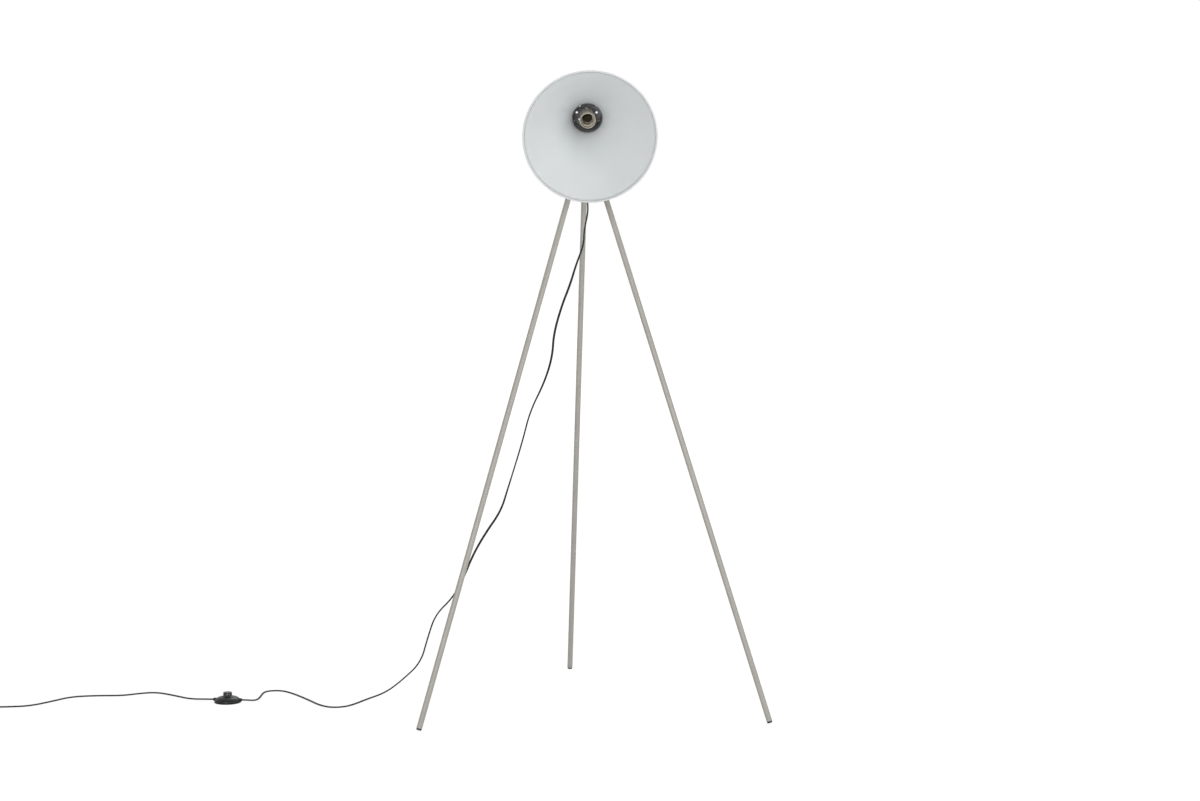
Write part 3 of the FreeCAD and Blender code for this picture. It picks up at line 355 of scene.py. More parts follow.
def mouldedPlastic(name, colour, roughness, texture=0.35, specular=0.45):
    # fine spark-eroded texture
    look = mouldLook
    material, tree, shader = startMaterial(name, colour, roughness, specular=specular)
    tinted(tree, shader, grain(tree, look["mottleScale"], 4), colour, look["mottleShade"])
    roughened(tree, shader, grain(tree, look["sheenScale"], 3), roughness, look["sheen"])
    bumped(tree, shader, [(grain(tree, look["textureScale"], 2), texture, look["textureHeight"])])
    return material


brushLook = {
    "lineScale": 700,
    "lineStretch": (1, 1, 18),
    "lineShade": (0.86, 1.08),
    "lineBump": (0.2, 0.00004),
    "sheen": (-0.08, 0.12),
}


def brushedMetal(name, colour, roughness):
    look = brushLook
    material, tree, shader = startMaterial(name, colour, roughness, metallic=1.0)
    lines = grain(tree, look["lineScale"], 3, look["lineStretch"])
    tinted(tree, shader, lines, colour, look["lineShade"])
    roughened(tree, shader, lines, roughness, look["sheen"])
    bumped(tree, shader, [(lines, *look["lineBump"])])
    return material


glazeLook = {
    "speckScale": 500,
    "speckShade": (0.86, 1.06),
    "speckReach": (0.3, 0.55),
    "shine": (0.5, 0.08),    # on the face, and down in the well, lowered there as painted shade
    "sheenScale": 200,
    "sheen": (-0.04, 0.08),
    "waveScale": 900,
    "waveBump": (0.12, 0.00005),
}


def glazedBody(name, colour, wellShadeColour, roughness=0.28):
    # smooth insulating body with specks, painted dark brown and dull down in its well and slots as painted shade
    look = glazeLook
    material, tree, shader = startMaterial(name, colour, roughness)
    specks = grain(tree, look["speckScale"], 5)
    tinted(tree, shader, specks, colour, look["speckShade"], look["speckReach"])
    specked = shader.inputs["Base Color"].links[0].from_socket
    # painted shade: faces in the well and the slots take the dark colour and a lower shine
    depth = addNode(tree, "ShaderNodeAttribute", attribute_name="inWell")
    mix = addNode(tree, "ShaderNodeMix", data_type="RGBA")
    factor, first, second = [socket for socket in mix.inputs if socket.enabled]
    second.default_value = (*wellShadeColour, 1)
    tree.links.new(depth.outputs["Fac"], factor)
    tree.links.new(specked, first)
    mixed = next(socket for socket in mix.outputs if socket.enabled)
    tree.links.new(mixed, shader.inputs["Base Color"])
    wellShadeShine = mapRange(tree, depth.outputs["Fac"], (0, 1), look["shine"])
    tree.links.new(wellShadeShine, shader.inputs["Specular IOR Level"])
    roughened(tree, shader, grain(tree, look["sheenScale"], 3), roughness, look["sheen"])
    bumped(tree, shader, [(grain(tree, look["waveScale"], 2), *look["waveBump"])])
    return material


sheathLook = {
    "mottleScale": 45,
    "mottleShade": (0.75, 1.45),
    "sheenScale": 90,
    "sheen": (-0.08, 0.1),
    "skinScale": 2200,
    "skinBump": (0.25, 0.00005),
    "waveScale": 130,
    "waveBump": (0.08, 0.0001),
}


def cordSheath(name, colour, roughness=0.5):
    # soft sheath: dull with a few shinier places, and slow waves along it
    look = sheathLook
    material, tree, shader = startMaterial(name, colour, roughness, specular=0.22)
    tinted(tree, shader, grain(tree, look["mottleScale"], 4), colour, look["mottleShade"])
    roughened(tree, shader, grain(tree, look["sheenScale"], 3), roughness, look["sheen"])
    skin = grain(tree, look["skinScale"], 2)
    waves = alongGrain(tree, look["waveScale"], 2)
    bumped(tree, shader, [(skin, *look["skinBump"]), (waves, *look["waveBump"])])
    return material


legGreige = (0.455, 0.441, 0.396)
finishes = {
    "leg_paint": powderCoat("legPaint", legGreige),
    "hub_paint": powderCoat("hubPaint", legGreige),
    "shade_paint": spunPaint("shadeWhite", (0.76, 0.785, 0.79)),
    "cup_paint": powderCoat("cupCharcoal", (0.22, 0.225, 0.225), 0.5, 0.3),
    "foot_plug": mouldedPlastic("footPlugBlack", (0.020, 0.020, 0.021), 0.5, specular=0.3),
    "black_plastic": mouldedPlastic("mouldedBlack", (0.010, 0.0105, 0.0115), 0.36, 0.2, 0.25),
    "washer_plastic": mouldedPlastic("nylonWasher", (0.72, 0.71, 0.66), 0.45, 0.2),
    "holder_plastic": mouldedPlastic("holderBeige", (0.50, 0.47, 0.39), 0.36, 0.15),
    "zinc_steel": brushedMetal("zincSteel", (0.62, 0.63, 0.64), 0.34),
    "spring_steel": brushedMetal("springSteel", (0.55, 0.55, 0.56), 0.30),
    "plated_pin": brushedMetal("platedPin", (0.72, 0.71, 0.68), 0.22),
    "brass": brushedMetal("plainBrass", (0.74, 0.56, 0.27), 0.32),
    "screw_shell": brushedMetal("nickelShell", (0.66, 0.61, 0.53), 0.34),
    # its second colour is painted shade for the well and the slots
    "holder_ceramic": glazedBody("insulatorBeige", (0.50, 0.46, 0.37), (0.035, 0.027, 0.018)),
    "cord_sheath": cordSheath("cordSheath", (0.009, 0.009, 0.0095)),
    "wire_sheath": cordSheath("innerWireSheath", (0.10, 0.06, 0.04)),
}
# near-black brass: painted shade at the bottom of the lampholder's well
tarnishedBrass = brushedMetal("tarnishedBrass", (0.045, 0.028, 0.014), 0.45)
rubbedBlack = mouldedPlastic("rubbedBlack", (0.012, 0.0125, 0.0135), 0.22, 0.08)    # for the button
print("finishes ready:", len(finishes))


def roundedOutline(corners, closed=True, segments=5):
    # corners: (radius, height, rounding), each rounding an arc in place of the corner
    points = []
    count = len(corners)
    for index, (x, y, rounding) in enumerate(corners):
        here = Vector((x, y))
        inner = closed or 0 < index < count - 1
        if not rounding or not inner:
            points.append(here)
            continue
        before = Vector(corners[index - 1][:2]) - here
        after = Vector(corners[(index + 1) % count][:2]) - here
        halfAngle = before.angle(after) / 2
        cut = rounding / math.tan(halfAngle)
        start = here + before.normalized() * cut
        end = here + after.normalized() * cut
        toCentre = (before.normalized() + after.normalized()).normalized()
        centre = here + toCentre * (rounding / math.sin(halfAngle))
        for step in range(segments + 1):
            chord = start.lerp(end, step / segments)
            points.append(centre + (chord - centre).normalized() * rounding)
    return points


def spun(outline, steps=96, closed=True):
    # turns an outline of (radius, height) points round z
    bm = bmesh.new()
    along = bm.verts.layers.float.new("along")
    verts = []
    distance = 0.0
    for index, point in enumerate(outline):
        if index:
            distance += (Vector(point) - Vector(outline[index - 1])).length
        vert = bm.verts.new((point[0], 0, point[1]))
        vert[along] = distance
        verts.append(vert)
    edges = [bm.edges.new(pair) for pair in zip(verts, verts[1:])]
    if closed:
        edges.append(bm.edges.new((verts[-1], verts[0])))
    bmesh.ops.spin(bm, geom=verts + edges, cent=(0, 0, 0), axis=(0, 0, 1), angle=math.tau,
                   steps=steps, use_merge=True)
    bmesh.ops.remove_doubles(bm, verts=bm.verts, dist=1e-7)
    bmesh.ops.recalc_face_normals(bm, faces=bm.faces)
    return bm


edgeLook = {
    "segments": 3,
    "sharperThan": math.radians(38),
}


def finishPiece(name, bm, body, slot, nodes=(), place=None, bevel=0.0, thickness=0.0):
    if place is not None:
        bmesh.ops.transform(bm, matrix=place, verts=bm.verts)
    for face in bm.faces:
        face.smooth = True
    mesh = bpy.data.meshes.new(name)
    bm.to_mesh(mesh)
    bm.free()
    piece = bpy.data.objects.new(name, mesh)
    bpy.context.scene.collection.objects.link(piece)
    mesh.materials.append(finishes[slot])
    if thickness:
        wall = piece.modifiers.new("wall", "SOLIDIFY")
        wall.thickness = abs(thickness)
        wall.offset = 1.0 if thickness > 0 else -1.0
        wall.use_even_offset = True
    if bevel:
        edge = piece.modifiers.new("edge", "BEVEL")
        edge.affect = "EDGES"
        edge.width = bevel
        edge.segments = edgeLook["segments"]
        edge.profile = 0.5
        edge.material = -1
        edge.limit_method = "ANGLE"
        edge.angle_limit = edgeLook["sharperThan"]
        edge.harden_normals = True
    if body:    # a piece given no body, such as one meant to stretch between two bodies, is left unattached
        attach(piece, body)
    if nodes:
        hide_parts(*nodes)
    return piece


flatAngle = math.radians(0.4)
sameVert = 0.000003    # packed corners this near are one


def edgesOfHoledFaces(bm):
    # the triangle edges inside flat faces that have holes: one face can't hold them
    kept = set()
    waiting = set(bm.faces)
    while waiting:
        region = [waiting.pop()]
        inner = set()
        for face in region:
            for edge in face.edges:
                if len(edge.link_faces) == 2 and edge.calc_face_angle() < flatAngle:
                    inner.add(edge)
                    fresh = [other for other in edge.link_faces if other in waiting]
                    waiting.difference_update(fresh)
                    region.extend(fresh)
        verts = {vert for face in region for vert in face.verts}
        edges = {edge for face in region for edge in face.edges}
        if len(verts) - len(edges) + len(region) < 1:
            kept |= inner
    return kept


def mergedCopy(node):
    bm = bmesh.new()
    bm.from_mesh(frame["nodes"][node].data)
    bmesh.ops.remove_doubles(bm, verts=bm.verts, dist=sameVert)
    kept = edgesOfHoledFaces(bm)
    edges = [edge for edge in bm.edges if edge not in kept]
    verts = [vert for vert in bm.verts if not any(edge in kept for edge in vert.link_edges)]
    bmesh.ops.dissolve_limit(bm, angle_limit=flatAngle, verts=verts, edges=edges)
    return bm


def camelName(node):
    first, *others = node.split("_")
    return first + "".join(word.capitalize() for word in others)


def dressNode(node, bevel):
    return finishPiece(camelName(node) + "Piece", mergedCopy(node), bodyOf[node], slotOf[node],
                       nodes=[node], bevel=bevel)


def extrudedOutline(bm, verts, way):
    face = bm.faces.new(verts)
    grown = bmesh.ops.extrude_face_region(bm, geom=[face])
    moved = [item for item in grown["geom"] if isinstance(item, bmesh.types.BMVert)]
    bmesh.ops.translate(bm, vec=way, verts=moved)


cordLook = {
    "width": 0.0054,
    "thickness": 0.0034,
    "groove": 0.00022,
    "lift": 0.0017,    # its middle when it lies flat
    "settling": 0.25,    # how fast it turns flat where it runs level
    "leastLevel": 0.5,    # steeper than this it keeps its turn
    "sideAtGland": Vector((0.26, 0.965, 0)),    # the way across its width
    "sideAtSwitch": Vector((0, -1, 0)),
    "sectionSteps": 6,
    "routeSteps": 14,
    "twists": [    # where one starts, how long it is, how far it turns
        (0.10, 0.50, math.radians(80)),
        (0.66, 0.50, math.radians(-75)),
    ],
}
flat = cordLook["lift"]
switchLook = {
    "place": Vector((-0.852, 0.126, 0.0)),    # from the floor under the hub
    "heading": math.radians(168.0),
    "nozzleReach": 0.0345,
    "nozzleHeight": 0.0064,
    "lead": 0.010,
}
switchWay = Vector((math.cos(switchLook["heading"]), math.sin(switchLook["heading"]), 0))
switchPlace = onFloor + switchLook["place"]
switchFrame = Matrix.Translation(switchPlace) @ Matrix.Rotation(switchLook["heading"], 4, "Z")
nozzleMiddle = switchPlace + Vector((0, 0, switchLook["nozzleHeight"]))
switchEntry = nozzleMiddle - switchWay * switchLook["nozzleReach"]
switchExit = nozzleMiddle + switchWay * switchLook["nozzleReach"]

glandExit = onFloor + Vector((0, 0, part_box("cord_gland")[0].z))
glandLead = 0.034
upperPoints = [    # down through the tripod, over the floor, to the switch
    (0.006, -0.001, 1.176),
    (-0.005, 0.001, 1.128),
    (-0.005, 0.002, 1.096),
    (-0.024, 0.006, 1.046),
    (-0.036, 0.010, 1.004),
    (-0.057, 0.015, 0.950),
    (-0.075, 0.020, 0.885),
    (-0.078, 0.021, 0.832),
    (-0.096, 0.026, 0.772),
    (-0.130, 0.035, 0.702),
    (-0.147, 0.040, 0.634),
    (-0.163, 0.044, 0.580),
    (-0.183, 0.049, 0.515),
    (-0.199, 0.054, 0.462),
    (-0.236, 0.063, 0.408),
    (-0.266, 0.072, 0.354),
    (-0.287, 0.077, 0.300),
    (-0.314, 0.085, 0.250),
    (-0.355, 0.096, 0.209),
    (-0.374, 0.101, 0.150),
    (-0.390, 0.105, 0.092),
    (-0.432, 0.116, 0.050),
    (-0.474, 0.126, 0.016),
    (-0.523, 0.116, flat),
    (-0.550, 0.064, flat),
    (-0.574, 0.036, flat),
    (-0.606, 0.033, flat),
    (-0.633, 0.064, flat),
    (-0.658, 0.122, flat),
    (-0.692, 0.193, flat),
    (-0.721, 0.238, flat),
    (-0.741, 0.246, flat),
    (-0.763, 0.241, flat),
    (-0.7715, 0.222, flat),
    (-0.7745, 0.196, flat),
    (-0.7770, 0.172, flat),
    (-0.7808, 0.146, flat),
    (-0.7890, 0.1240, 0.0034),
]
lowerPoints = [    # from the switch over the floor to the left
    (-0.944, 0.164, flat),
    (-0.984, 0.209, flat),
    (-1.031, 0.253, flat),
    (-1.071, 0.244, flat),
    (-1.110, 0.221, flat),
    (-1.172, 0.227, flat),
    (-1.233, 0.219, flat),
    (-1.271, 0.170, flat),
    (-1.316, 0.121, flat),
    (-1.364, 0.112, 0.0022),
]
coilLook = {
    "place": Vector((-1.440, 0.1485, 0.0)),
    "radius": 0.0365,
    "runUp": 0.036,    # how far before the first turn it is straight
    "pitch": 0.0060,
    "firstLayer": 0.0026,
    "layerStep": 0.0037,
    "pointsPerTurn": 12,
    "turnsIn": 1.5,
    "turnsOut": 1.75,
    "climbTurns": 0.5,    # the part of a turn in which it goes over itself
    "tail": 0.020,
    "tailDrop": 0.018,
    "tailEnd": 0.014,
    "plugHeight": 0.00685,
}


def coilPoints():
    # clockwise from above: spiral in, climb in the half turn where it reverses, spiral out
    look = coilLook
    perTurn = look["pointsPerTurn"]
    standOut = 1 / math.cos(math.pi / perTurn)
    steps = round((look["turnsIn"] + look["turnsOut"]) * perTurn)
    points = []
    for step in range(1, steps):
        turn = step / perTurn
        inward = min(turn, 2 * look["turnsIn"] - turn)
        radius = (look["radius"] - look["pitch"] * inward) * standOut
        angle = -math.pi / 2 - math.tau * turn
        climb = min(max((turn - look["turnsIn"]) / look["climbTurns"] + 0.5, 0.0), 1.0)
        height = look["firstLayer"] + look["layerStep"] * climb
        points.append(look["place"] + Vector((radius * math.cos(angle), radius * math.sin(angle), height)))
    return points


def tailPoints():
    look = coilLook
    outer = look["radius"] - look["pitch"] * (look["turnsIn"] - look["turnsOut"])
    top = look["firstLayer"] + look["layerStep"]
    start = look["place"] + Vector((-outer, 0, top))
    level = start + Vector((0, look["tail"], 0))
    low = level + Vector((0, look["tailDrop"], look["plugHeight"] - top))
    return [level, low, low + Vector((0, look["tailEnd"], 0))]


def routeLine(name, points):
    # points read from the route's smooth line
    curve = bpy.data.curves.new(name, "CURVE")
    curve.dimensions = "3D"
    curve.resolution_u = cordLook["routeSteps"]
    spline = curve.splines.new("NURBS")
    spline.points.add(len(points) - 1)
    for control, place in zip(spline.points, points):
        control.co = (*place, 1)
    spline.order_u = 3
    spline.use_endpoint_u = True
    holder = bpy.data.objects.new(name, curve)
    bpy.context.scene.collection.objects.link(holder)
    mesh = bpy.data.meshes.new_from_object(holder)
    line = [vert.co.copy() for vert in mesh.vertices]
    bpy.data.objects.remove(holder)
    bpy.data.curves.remove(curve)
    bpy.data.meshes.remove(mesh)
    return line


def lineLengths(line):
    lengths = [0.0]
    for start, end in zip(line, line[1:]):
        lengths.append(lengths[-1] + (end - start).length)
    return lengths


def flatSection():
    # two cores side by side, with a shallow groove between them
    half = cordLook["thickness"] / 2
    core = cordLook["width"] / 2 - half
    points = []
    for side, start in ((1, -90), (-1, 90)):
        for step in range(cordLook["sectionSteps"] + 1):
            angle = math.radians(start + 180 * step / cordLook["sectionSteps"])
            points.append((side * core + half * math.cos(angle), half * math.sin(angle)))
        points.append((0.0, side * (half - cordLook["groove"])))
    return points


def sweptCord(line, twistAt, firstSide):
    lengths = lineLengths(line)
    section = flatSection()
    bm = bmesh.new()
    along = bm.verts.layers.float.new("along")
    side = firstSide.normalized()
    rings = []
    for index, place in enumerate(line):
        way = (line[min(index + 1, len(line) - 1)] - line[max(index - 1, 0)]).normalized()
        level = Vector((0, 0, 1)).cross(way)
        if level.length > cordLook["leastLevel"]:
            level.normalize()
            side = side.lerp(level if level.dot(side) > 0 else -level, cordLook["settling"])
        side = (side - way * side.dot(way)).normalized()
        up = way.cross(side)
        twist = twistAt(lengths[index])
        wide = side * math.cos(twist) + up * math.sin(twist)
        high = up * math.cos(twist) - side * math.sin(twist)
        ring = []
        for x, y in section:
            vert = bm.verts.new(place + wide * x + high * y)
            vert[along] = lengths[index]
            ring.append(vert)
        rings.append(ring)
    for near, far in zip(rings, rings[1:]):
        for one in range(len(section)):
            two = (one + 1) % len(section)
            bm.faces.new((near[one], near[two], far[two], far[one]))
    bm.faces.new(rings[0])
    bm.faces.new(rings[-1][::-1])
    bmesh.ops.recalc_face_normals(bm, faces=bm.faces)
    return bm, lengths[-1]


def hangingTwist(distance):
    # edge on at the gland, turning flat to the front twice on the way down
    twist = 0.0
    for start, length, most in cordLook["twists"]:
        twist += most * math.sin(math.pi * min(max((distance - start) / length, 0), 1)) ** 2
    return twist


def makeUpperCord():
    points = [glandExit, glandExit - Vector((0, 0, glandLead))]
    points += [onFloor + Vector(point) for point in upperPoints]
    points += [switchEntry - switchWay * switchLook["lead"], switchEntry]
    line = routeLine("upperRoute", points)
    bm, length = sweptCord(line, hangingTwist, cordLook["sideAtGland"])
    piece = finishPiece("cordUpperLead", bm, "stand", "cord_sheath", nodes=["cord_upper"])
    print(f"upper cord {length:.3f} m")
    return piece, line, length


def makeLowerCord():
    points = [switchExit, switchExit + switchWay * switchLook["lead"]]
    points += [onFloor + Vector(point) for point in lowerPoints]
    outside = Vector((coilLook["runUp"], -coilLook["radius"], coilLook["firstLayer"]))
    points.append(onFloor + coilLook["place"] + outside)
    points += [onFloor + point for point in coilPoints() + tailPoints()]
    line = routeLine("lowerRoute", points)
    bm, length = sweptCord(line, lambda distance: 0.0, cordLook["sideAtSwitch"])
    piece = finishPiece("cordLowerLead", bm, "stand", "cord_sheath", nodes=["cord_lower", "cord_coil"])
    print(f"lower cord {length:.3f} m")
    return piece, line, length


cordUpper, upperLine, upperLength = makeUpperCord()
cordLower, lowerLine, lowerLength = makeLowerCord()


tieLook = {
    "inner": 0.0262,
    "outer": 0.0412,
    "top": 0.0084,
    "band": 0.0008,
    "width": 0.009,
    "corner": 0.0024,
    "angle": math.radians(40.0),
}


def makeCoilTie():
    look = tieLook
    bm = bmesh.new()
    low, high = look["band"], look["top"]
    corners = [(look["inner"], low), (look["outer"], low), (look["outer"], high), (look["inner"], high)]
    verts = [bm.verts.new((x, -look["width"] / 2, z)) for x, z in corners]
    extrudedOutline(bm, verts, (0, look["width"], 0))
    upright = [edge for edge in bm.edges if abs(edge.verts[0].co.y - edge.verts[1].co.y) > look["width"] / 2]
    bmesh.ops.bevel(bm, geom=upright, offset=look["corner"], segments=6, affect="EDGES", profile=0.5,
                    material=-1)
    bmesh.ops.recalc_face_normals(bm, faces=bm.faces)
    caps = [face for face in bm.faces if abs(face.normal.y) > 0.9]
    bmesh.ops.delete(bm, geom=caps, context="FACES_ONLY")
    place = Matrix.Translation(onFloor + coilLook["place"]) @ Matrix.Rotation(look["angle"], 4, "Z")
    return finishPiece("coilTieBand", bm, "stand", "black_plastic", nodes=["coil_tie"], place=place,
                       thickness=look["band"])


coilTie = makeCoilTie()
print("cords ready")


legLook = {
    "meetHeight": 1.350,
    "footCircle": 0.465,
    "angles": {"left": 210.0, "right": 330.0, "back": 90.0},
    "radius": 0.0065,
    "wall": 0.0010,
    "top": 0.055,
    "plugRadius": 0.0061,
    "plugCap": 0.0040,
    "flatDepth": 0.0008,
    "lip": 0.0003,
    "plugEdge": 0.0003,
    "steps": 64,
}


def makeLegs():
    look = legLook
    splay = math.atan2(look["footCircle"], look["meetHeight"])
    footHeight = look["plugRadius"] * math.sin(splay) - look["flatDepth"]
    bottom = (look["meetHeight"] - footHeight) / math.cos(splay) - look["plugCap"]
    outer, inner, lip = look["radius"], look["radius"] - look["wall"], look["lip"]
    for side, angle in look["angles"].items():
        outline = roundedOutline([
            (inner, look["top"], lip),
            (outer, look["top"], lip),
            (outer, bottom, lip),
            (inner, bottom, lip),
        ], segments=3)
        place = (Matrix.Translation(onFloor + Vector((0, 0, look["meetHeight"])))
                 @ Matrix.Rotation(math.radians(angle), 4, "Z") @ Matrix.Rotation(math.pi - splay, 4, "Y"))
        finishPiece("legTube" + side.capitalize(), spun(outline, look["steps"]), "stand", "leg_paint",
                    nodes=["leg_tube_" + side], place=place)
        dressNode("foot_plug_" + side, look["plugEdge"])


makeLegs()
print("legs ready")


shadeLook = {
    "wall": 0.0010,
    "collarInside": 0.0349,
    "collarStart": 0.050,
    "flareStart": 0.101,
    "straightEnd": 0.004,    # the collar's last ring, short of the flare
    "flareRadius": 0.040,
    "flareAngle": math.radians(18.0),
    "neckSteps": 6,
    "bellSteps": 34,
    "beadRadius": 0.0018,
    "beadCircle": 0.1482,
    "beadPlace": 0.2882,
    "beadSteps": 22,
    "steps": 200,
}


def arcPoints(centre, radius, start, end, count):
    # a flare arc, its angles measured from the side that faces the shade's axis
    points = []
    for step in range(count + 1):
        angle = start + (end - start) * step / count
        points.append(Vector((centre[0] - radius * math.cos(angle), centre[1] + radius * math.sin(angle))))
    return points


def makeShade():
    look = shadeLook
    first = look["flareAngle"]
    neckCentre = (look["collarInside"] + look["flareRadius"], look["flareStart"])
    bellStart = arcPoints(neckCentre, look["flareRadius"], first, first, 1)[0]
    rim = Vector((look["beadCircle"], look["beadPlace"]))
    toRim = rim - bellStart
    last = 2 * math.atan2(toRim.x, toRim.y) - first
    bellRadius = toRim.length / (2 * math.sin((last - first) / 2))
    bellCentre = (bellStart.x + bellRadius * math.cos(first), bellStart.y - bellRadius * math.sin(first))
    shortOfBead = look["beadRadius"] / bellRadius
    sides = []
    for offset in (0, look["wall"]):
        side = [Vector((look["collarInside"] + offset, look["collarStart"])),
                Vector((look["collarInside"] + offset, look["flareStart"] - look["straightEnd"]))]
        side += arcPoints(neckCentre, look["flareRadius"] - offset, 0, first, look["neckSteps"])
        side += arcPoints(bellCentre, bellRadius - offset, first, last - shortOfBead, look["bellSteps"])[1:]
        sides.append(side)
    inside, outside = sides
    startAngle = math.atan2(inside[-1].y - rim.y, inside[-1].x - rim.x)
    endAngle = math.atan2(outside[-1].y - rim.y, outside[-1].x - rim.x)
    shortWay = (endAngle - startAngle + math.pi) % math.tau - math.pi
    roundTheBead = shortWay - math.copysign(math.tau, shortWay)
    bead = []
    for step in range(1, look["beadSteps"]):
        angle = startAngle + roundTheBead * step / look["beadSteps"]
        bead.append(rim + Vector((math.cos(angle), math.sin(angle))) * look["beadRadius"])
    outline = inside + bead + outside[::-1]
    finishPiece("shadeShell", spun(outline, look["steps"]), "head", "shade_paint", nodes=["shade"],
                place=headFrame)


makeShade()
print("shade ready")


holderLook = {
    "wall": 0.0023,
    "lip": 0.0009,
    "backEdge": 0.0003,
    "bandEdge": 0.0004,
    "bandFromMouth": 0.0052,
    "bandStep": 0.0005,
    "threadDepth": 0.00045,
    "threadPitch": 0.0036,
    "threadSteps": 12,    # along one pitch
    "stepsPerTurn": 64,
    "shellWall": 0.0003,
    "seam": 0.000002,
    "wellReach": 0.0125,
    "coreEdge": 0.0002,
    "contactEdge": 0.0001,
    "slotReach": (0.0149, 0.0163),    # from the holder's axis
    "slotDepth": 0.006,
    "slotTurn": math.radians(6.0),
    "slotSpan": 0.18,    # half of a slot's turn, as a sine
}


def makeHolderCore():
    # the body that carries the screw shell, with painted shade marked in its well and in the two slots of its face
    look = holderLook
    bm = mergedCopy("holder_core")
    inWell = bm.loops.layers.float.new("inWell")
    ledge, front = [corner.z for corner in boxIn("screw_shell", headFrame)]
    back = headFrame.inverted()
    for face in bm.faces:
        place = back @ face.calc_center_median()
        well = place.z < ledge - look["lip"] and place.xy.length < look["wellReach"]
        slot = (front - look["slotDepth"] - look["lip"] < place.z < front - look["lip"]
                and look["slotReach"][0] < place.xy.length < look["slotReach"][1]
                and abs(math.sin(math.atan2(place.y, place.x) - look["slotTurn"])) < look["slotSpan"])
        for loop in face.loops:
            loop[inWell] = 1.0 if well or slot else 0.0
    return finishPiece("holderCoreBody", bm, "head", "holder_ceramic", nodes=["holder_core"],
                       bevel=look["coreEdge"])


def makeContact():
    # the centre contact takes the brass darkened as painted shade at the bottom of the well
    piece = dressNode("centre_contact", holderLook["contactEdge"])
    piece.data.materials[0] = tarnishedBrass
    return piece


def makeHolderBody():
    look = holderLook
    low, high = boxIn("holder_body", headFrame)
    outer, inner = high.x, high.x - look["wall"]
    band = high.z - look["bandFromMouth"]
    outline = roundedOutline([
        (inner, low.z, look["backEdge"]),
        (outer, low.z, look["backEdge"]),
        (outer, band, look["bandEdge"]),
        (outer - look["bandStep"], band + look["bandStep"], look["bandEdge"]),
        (outer - look["bandStep"], high.z, look["lip"]),
        (inner, high.z, look["lip"]),
    ])
    return finishPiece("holderBodySleeve", spun(outline), "head", slotOf["holder_body"],
                       nodes=["holder_body"], place=headFrame)


def makeScrewShell():
    # one pitch of a round thread, wound up the shell and cut off level
    look = holderLook
    low, high = boxIn("screw_shell", headFrame)
    middleRadius = high.x - look["threadDepth"] - look["shellWall"] / 2
    bm = bmesh.new()
    pitch = look["threadPitch"]
    verts = []
    for step in range(look["threadSteps"] + 1):
        phase = step / look["threadSteps"]
        radius = middleRadius + look["threadDepth"] * math.cos(math.tau * phase)
        verts.append(bm.verts.new((radius, 0, low.z - 2 * pitch + pitch * phase)))
    edges = [bm.edges.new(pair) for pair in zip(verts, verts[1:])]
    turns = math.ceil((high.z - low.z) / pitch) + 2
    steps = look["stepsPerTurn"] * turns
    bmesh.ops.spin(bm, geom=verts + edges, cent=(0, 0, 0), axis=(0, 0, 1), dvec=(0, 0, pitch * turns / steps),
                   angle=math.tau * turns, steps=steps, use_merge=False)
    bmesh.ops.remove_doubles(bm, verts=bm.verts, dist=look["seam"])
    for height, way in ((low.z, -1), (high.z, 1)):
        whole = bm.verts[:] + bm.edges[:] + bm.faces[:]
        bmesh.ops.bisect_plane(bm, geom=whole, plane_co=(0, 0, height), plane_no=(0, 0, way),
                               clear_outer=True)
    for face in bm.faces:
        middle = face.calc_center_median()
        if face.normal.x * middle.x + face.normal.y * middle.y < 0:
            face.normal_flip()
    return finishPiece("screwShellThread", bm, "head", "screw_shell", nodes=["screw_shell"], place=headFrame,
                       thickness=-look["shellWall"])


makeHolderBody()
makeHolderCore()
makeScrewShell()
makeContact()
print("lampholder ready")


buttonLook = {
    "edge": 0.0018,
    "crown": 0.0004,
    "draft": 0.0003,
    "radius": 0.0108,
    "flangeTop": 0.0117,
    "bore": 0.0070,
    "roof": 0.0036,
    "flangeEdge": 0.0002,
    "steps": 72,
}


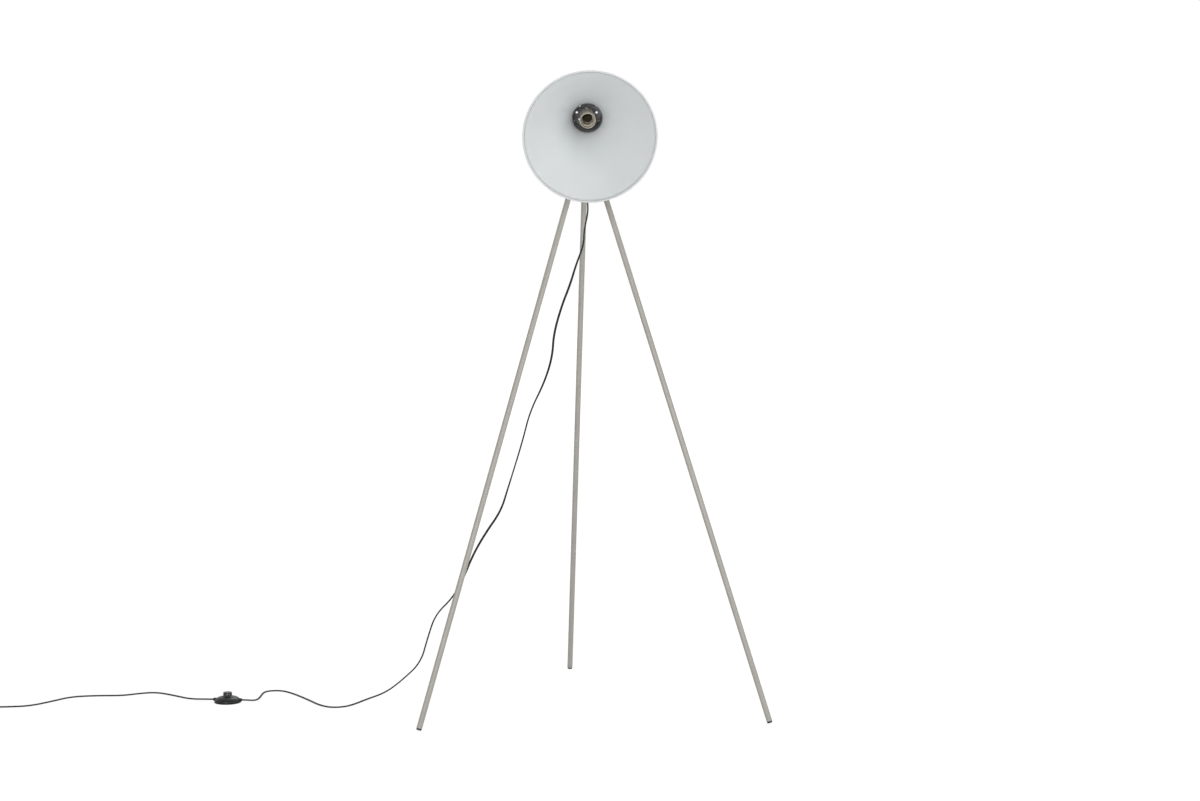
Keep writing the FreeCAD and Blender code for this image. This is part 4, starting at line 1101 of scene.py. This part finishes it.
def makeButton():
    look = buttonLook
    low, high = boxIn("switch_button", switchFrame)
    roof = high.z - look["roof"]
    outline = roundedOutline([
        (0.0, roof, 0),
        (look["bore"], roof, 0),
        (look["bore"], low.z, 0),
        (high.x, low.z, look["flangeEdge"]),
        (high.x, look["flangeTop"], look["flangeEdge"]),
        (look["radius"], look["flangeTop"], 0),
        (look["radius"] - look["draft"], high.z - look["crown"], look["edge"]),
        (0.0, high.z, 0),
    ], closed=False, segments=7)
    cap = spun(outline, look["steps"], closed=False)
    piece = finishPiece("switchButtonCap", cap, "button", "black_plastic", nodes=["switch_button"],
                        place=switchFrame)
    piece.data.materials[0] = rubbedBlack
    return piece


def makeSpring():
    # left on no body and baked in place; on the real switch its top goes down with the button and its bottom stays
    # on the base
    spring = finishPiece("switchSpringPiece", mergedCopy("switch_spring"), None, slotOf["switch_spring"],
                         nodes=["switch_spring"])
    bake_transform(spring)
    return spring


switchEdges = {"switch_base": 0.0006, "switch_cover": 0.0005}
switchPieces = [makeButton(), makeSpring()] + [dressNode(*edge) for edge in switchEdges.items()]
print("foot switch ready")


plugEdges = {"plug_body": 0.0012, "plug_boot": 0.0004, "plug_pins": 0.0002}
plugPieces = [dressNode(*edge) for edge in plugEdges.items()]
print("plug ready")


edgeWidths = {
    "leg_hub": 0.0005,
    "hub_washer": 0.0002,
    "hub_nut": 0.0003,
    "stem_tube": 0.0002,
    "swivel_base": 0.0003,
    "pan_washer": 0.0001,
    "cord_gland": 0.0003,
    "gland_screw": 0.0002,
    "swivel_fork": 0.0005,
    "clamp_bolt": 0.0003,
    "friction_washers": 0.0001,
    "knob_washer": 0.0001,
    "spring_washer": 0.0002,
    "tilt_knob": 0.0005,
    "head_arm": 0.0005,
    "cup_washer": 0.0001,
    "cup_nut": 0.0003,
    "socket_cup": 0.0002,
    "shade_screws": 0.0003,
    "holder_nut": 0.0003,
    "holder_cap": 0.0004,
}
for node, bevel in edgeWidths.items():
    dressNode(node, bevel)
for node, piece in frame["nodes"].items():    # what stays as packed takes its finish
    piece.data.materials.clear()
    piece.data.materials.append(finishes[slotOf[node]])
print("metalwork ready")
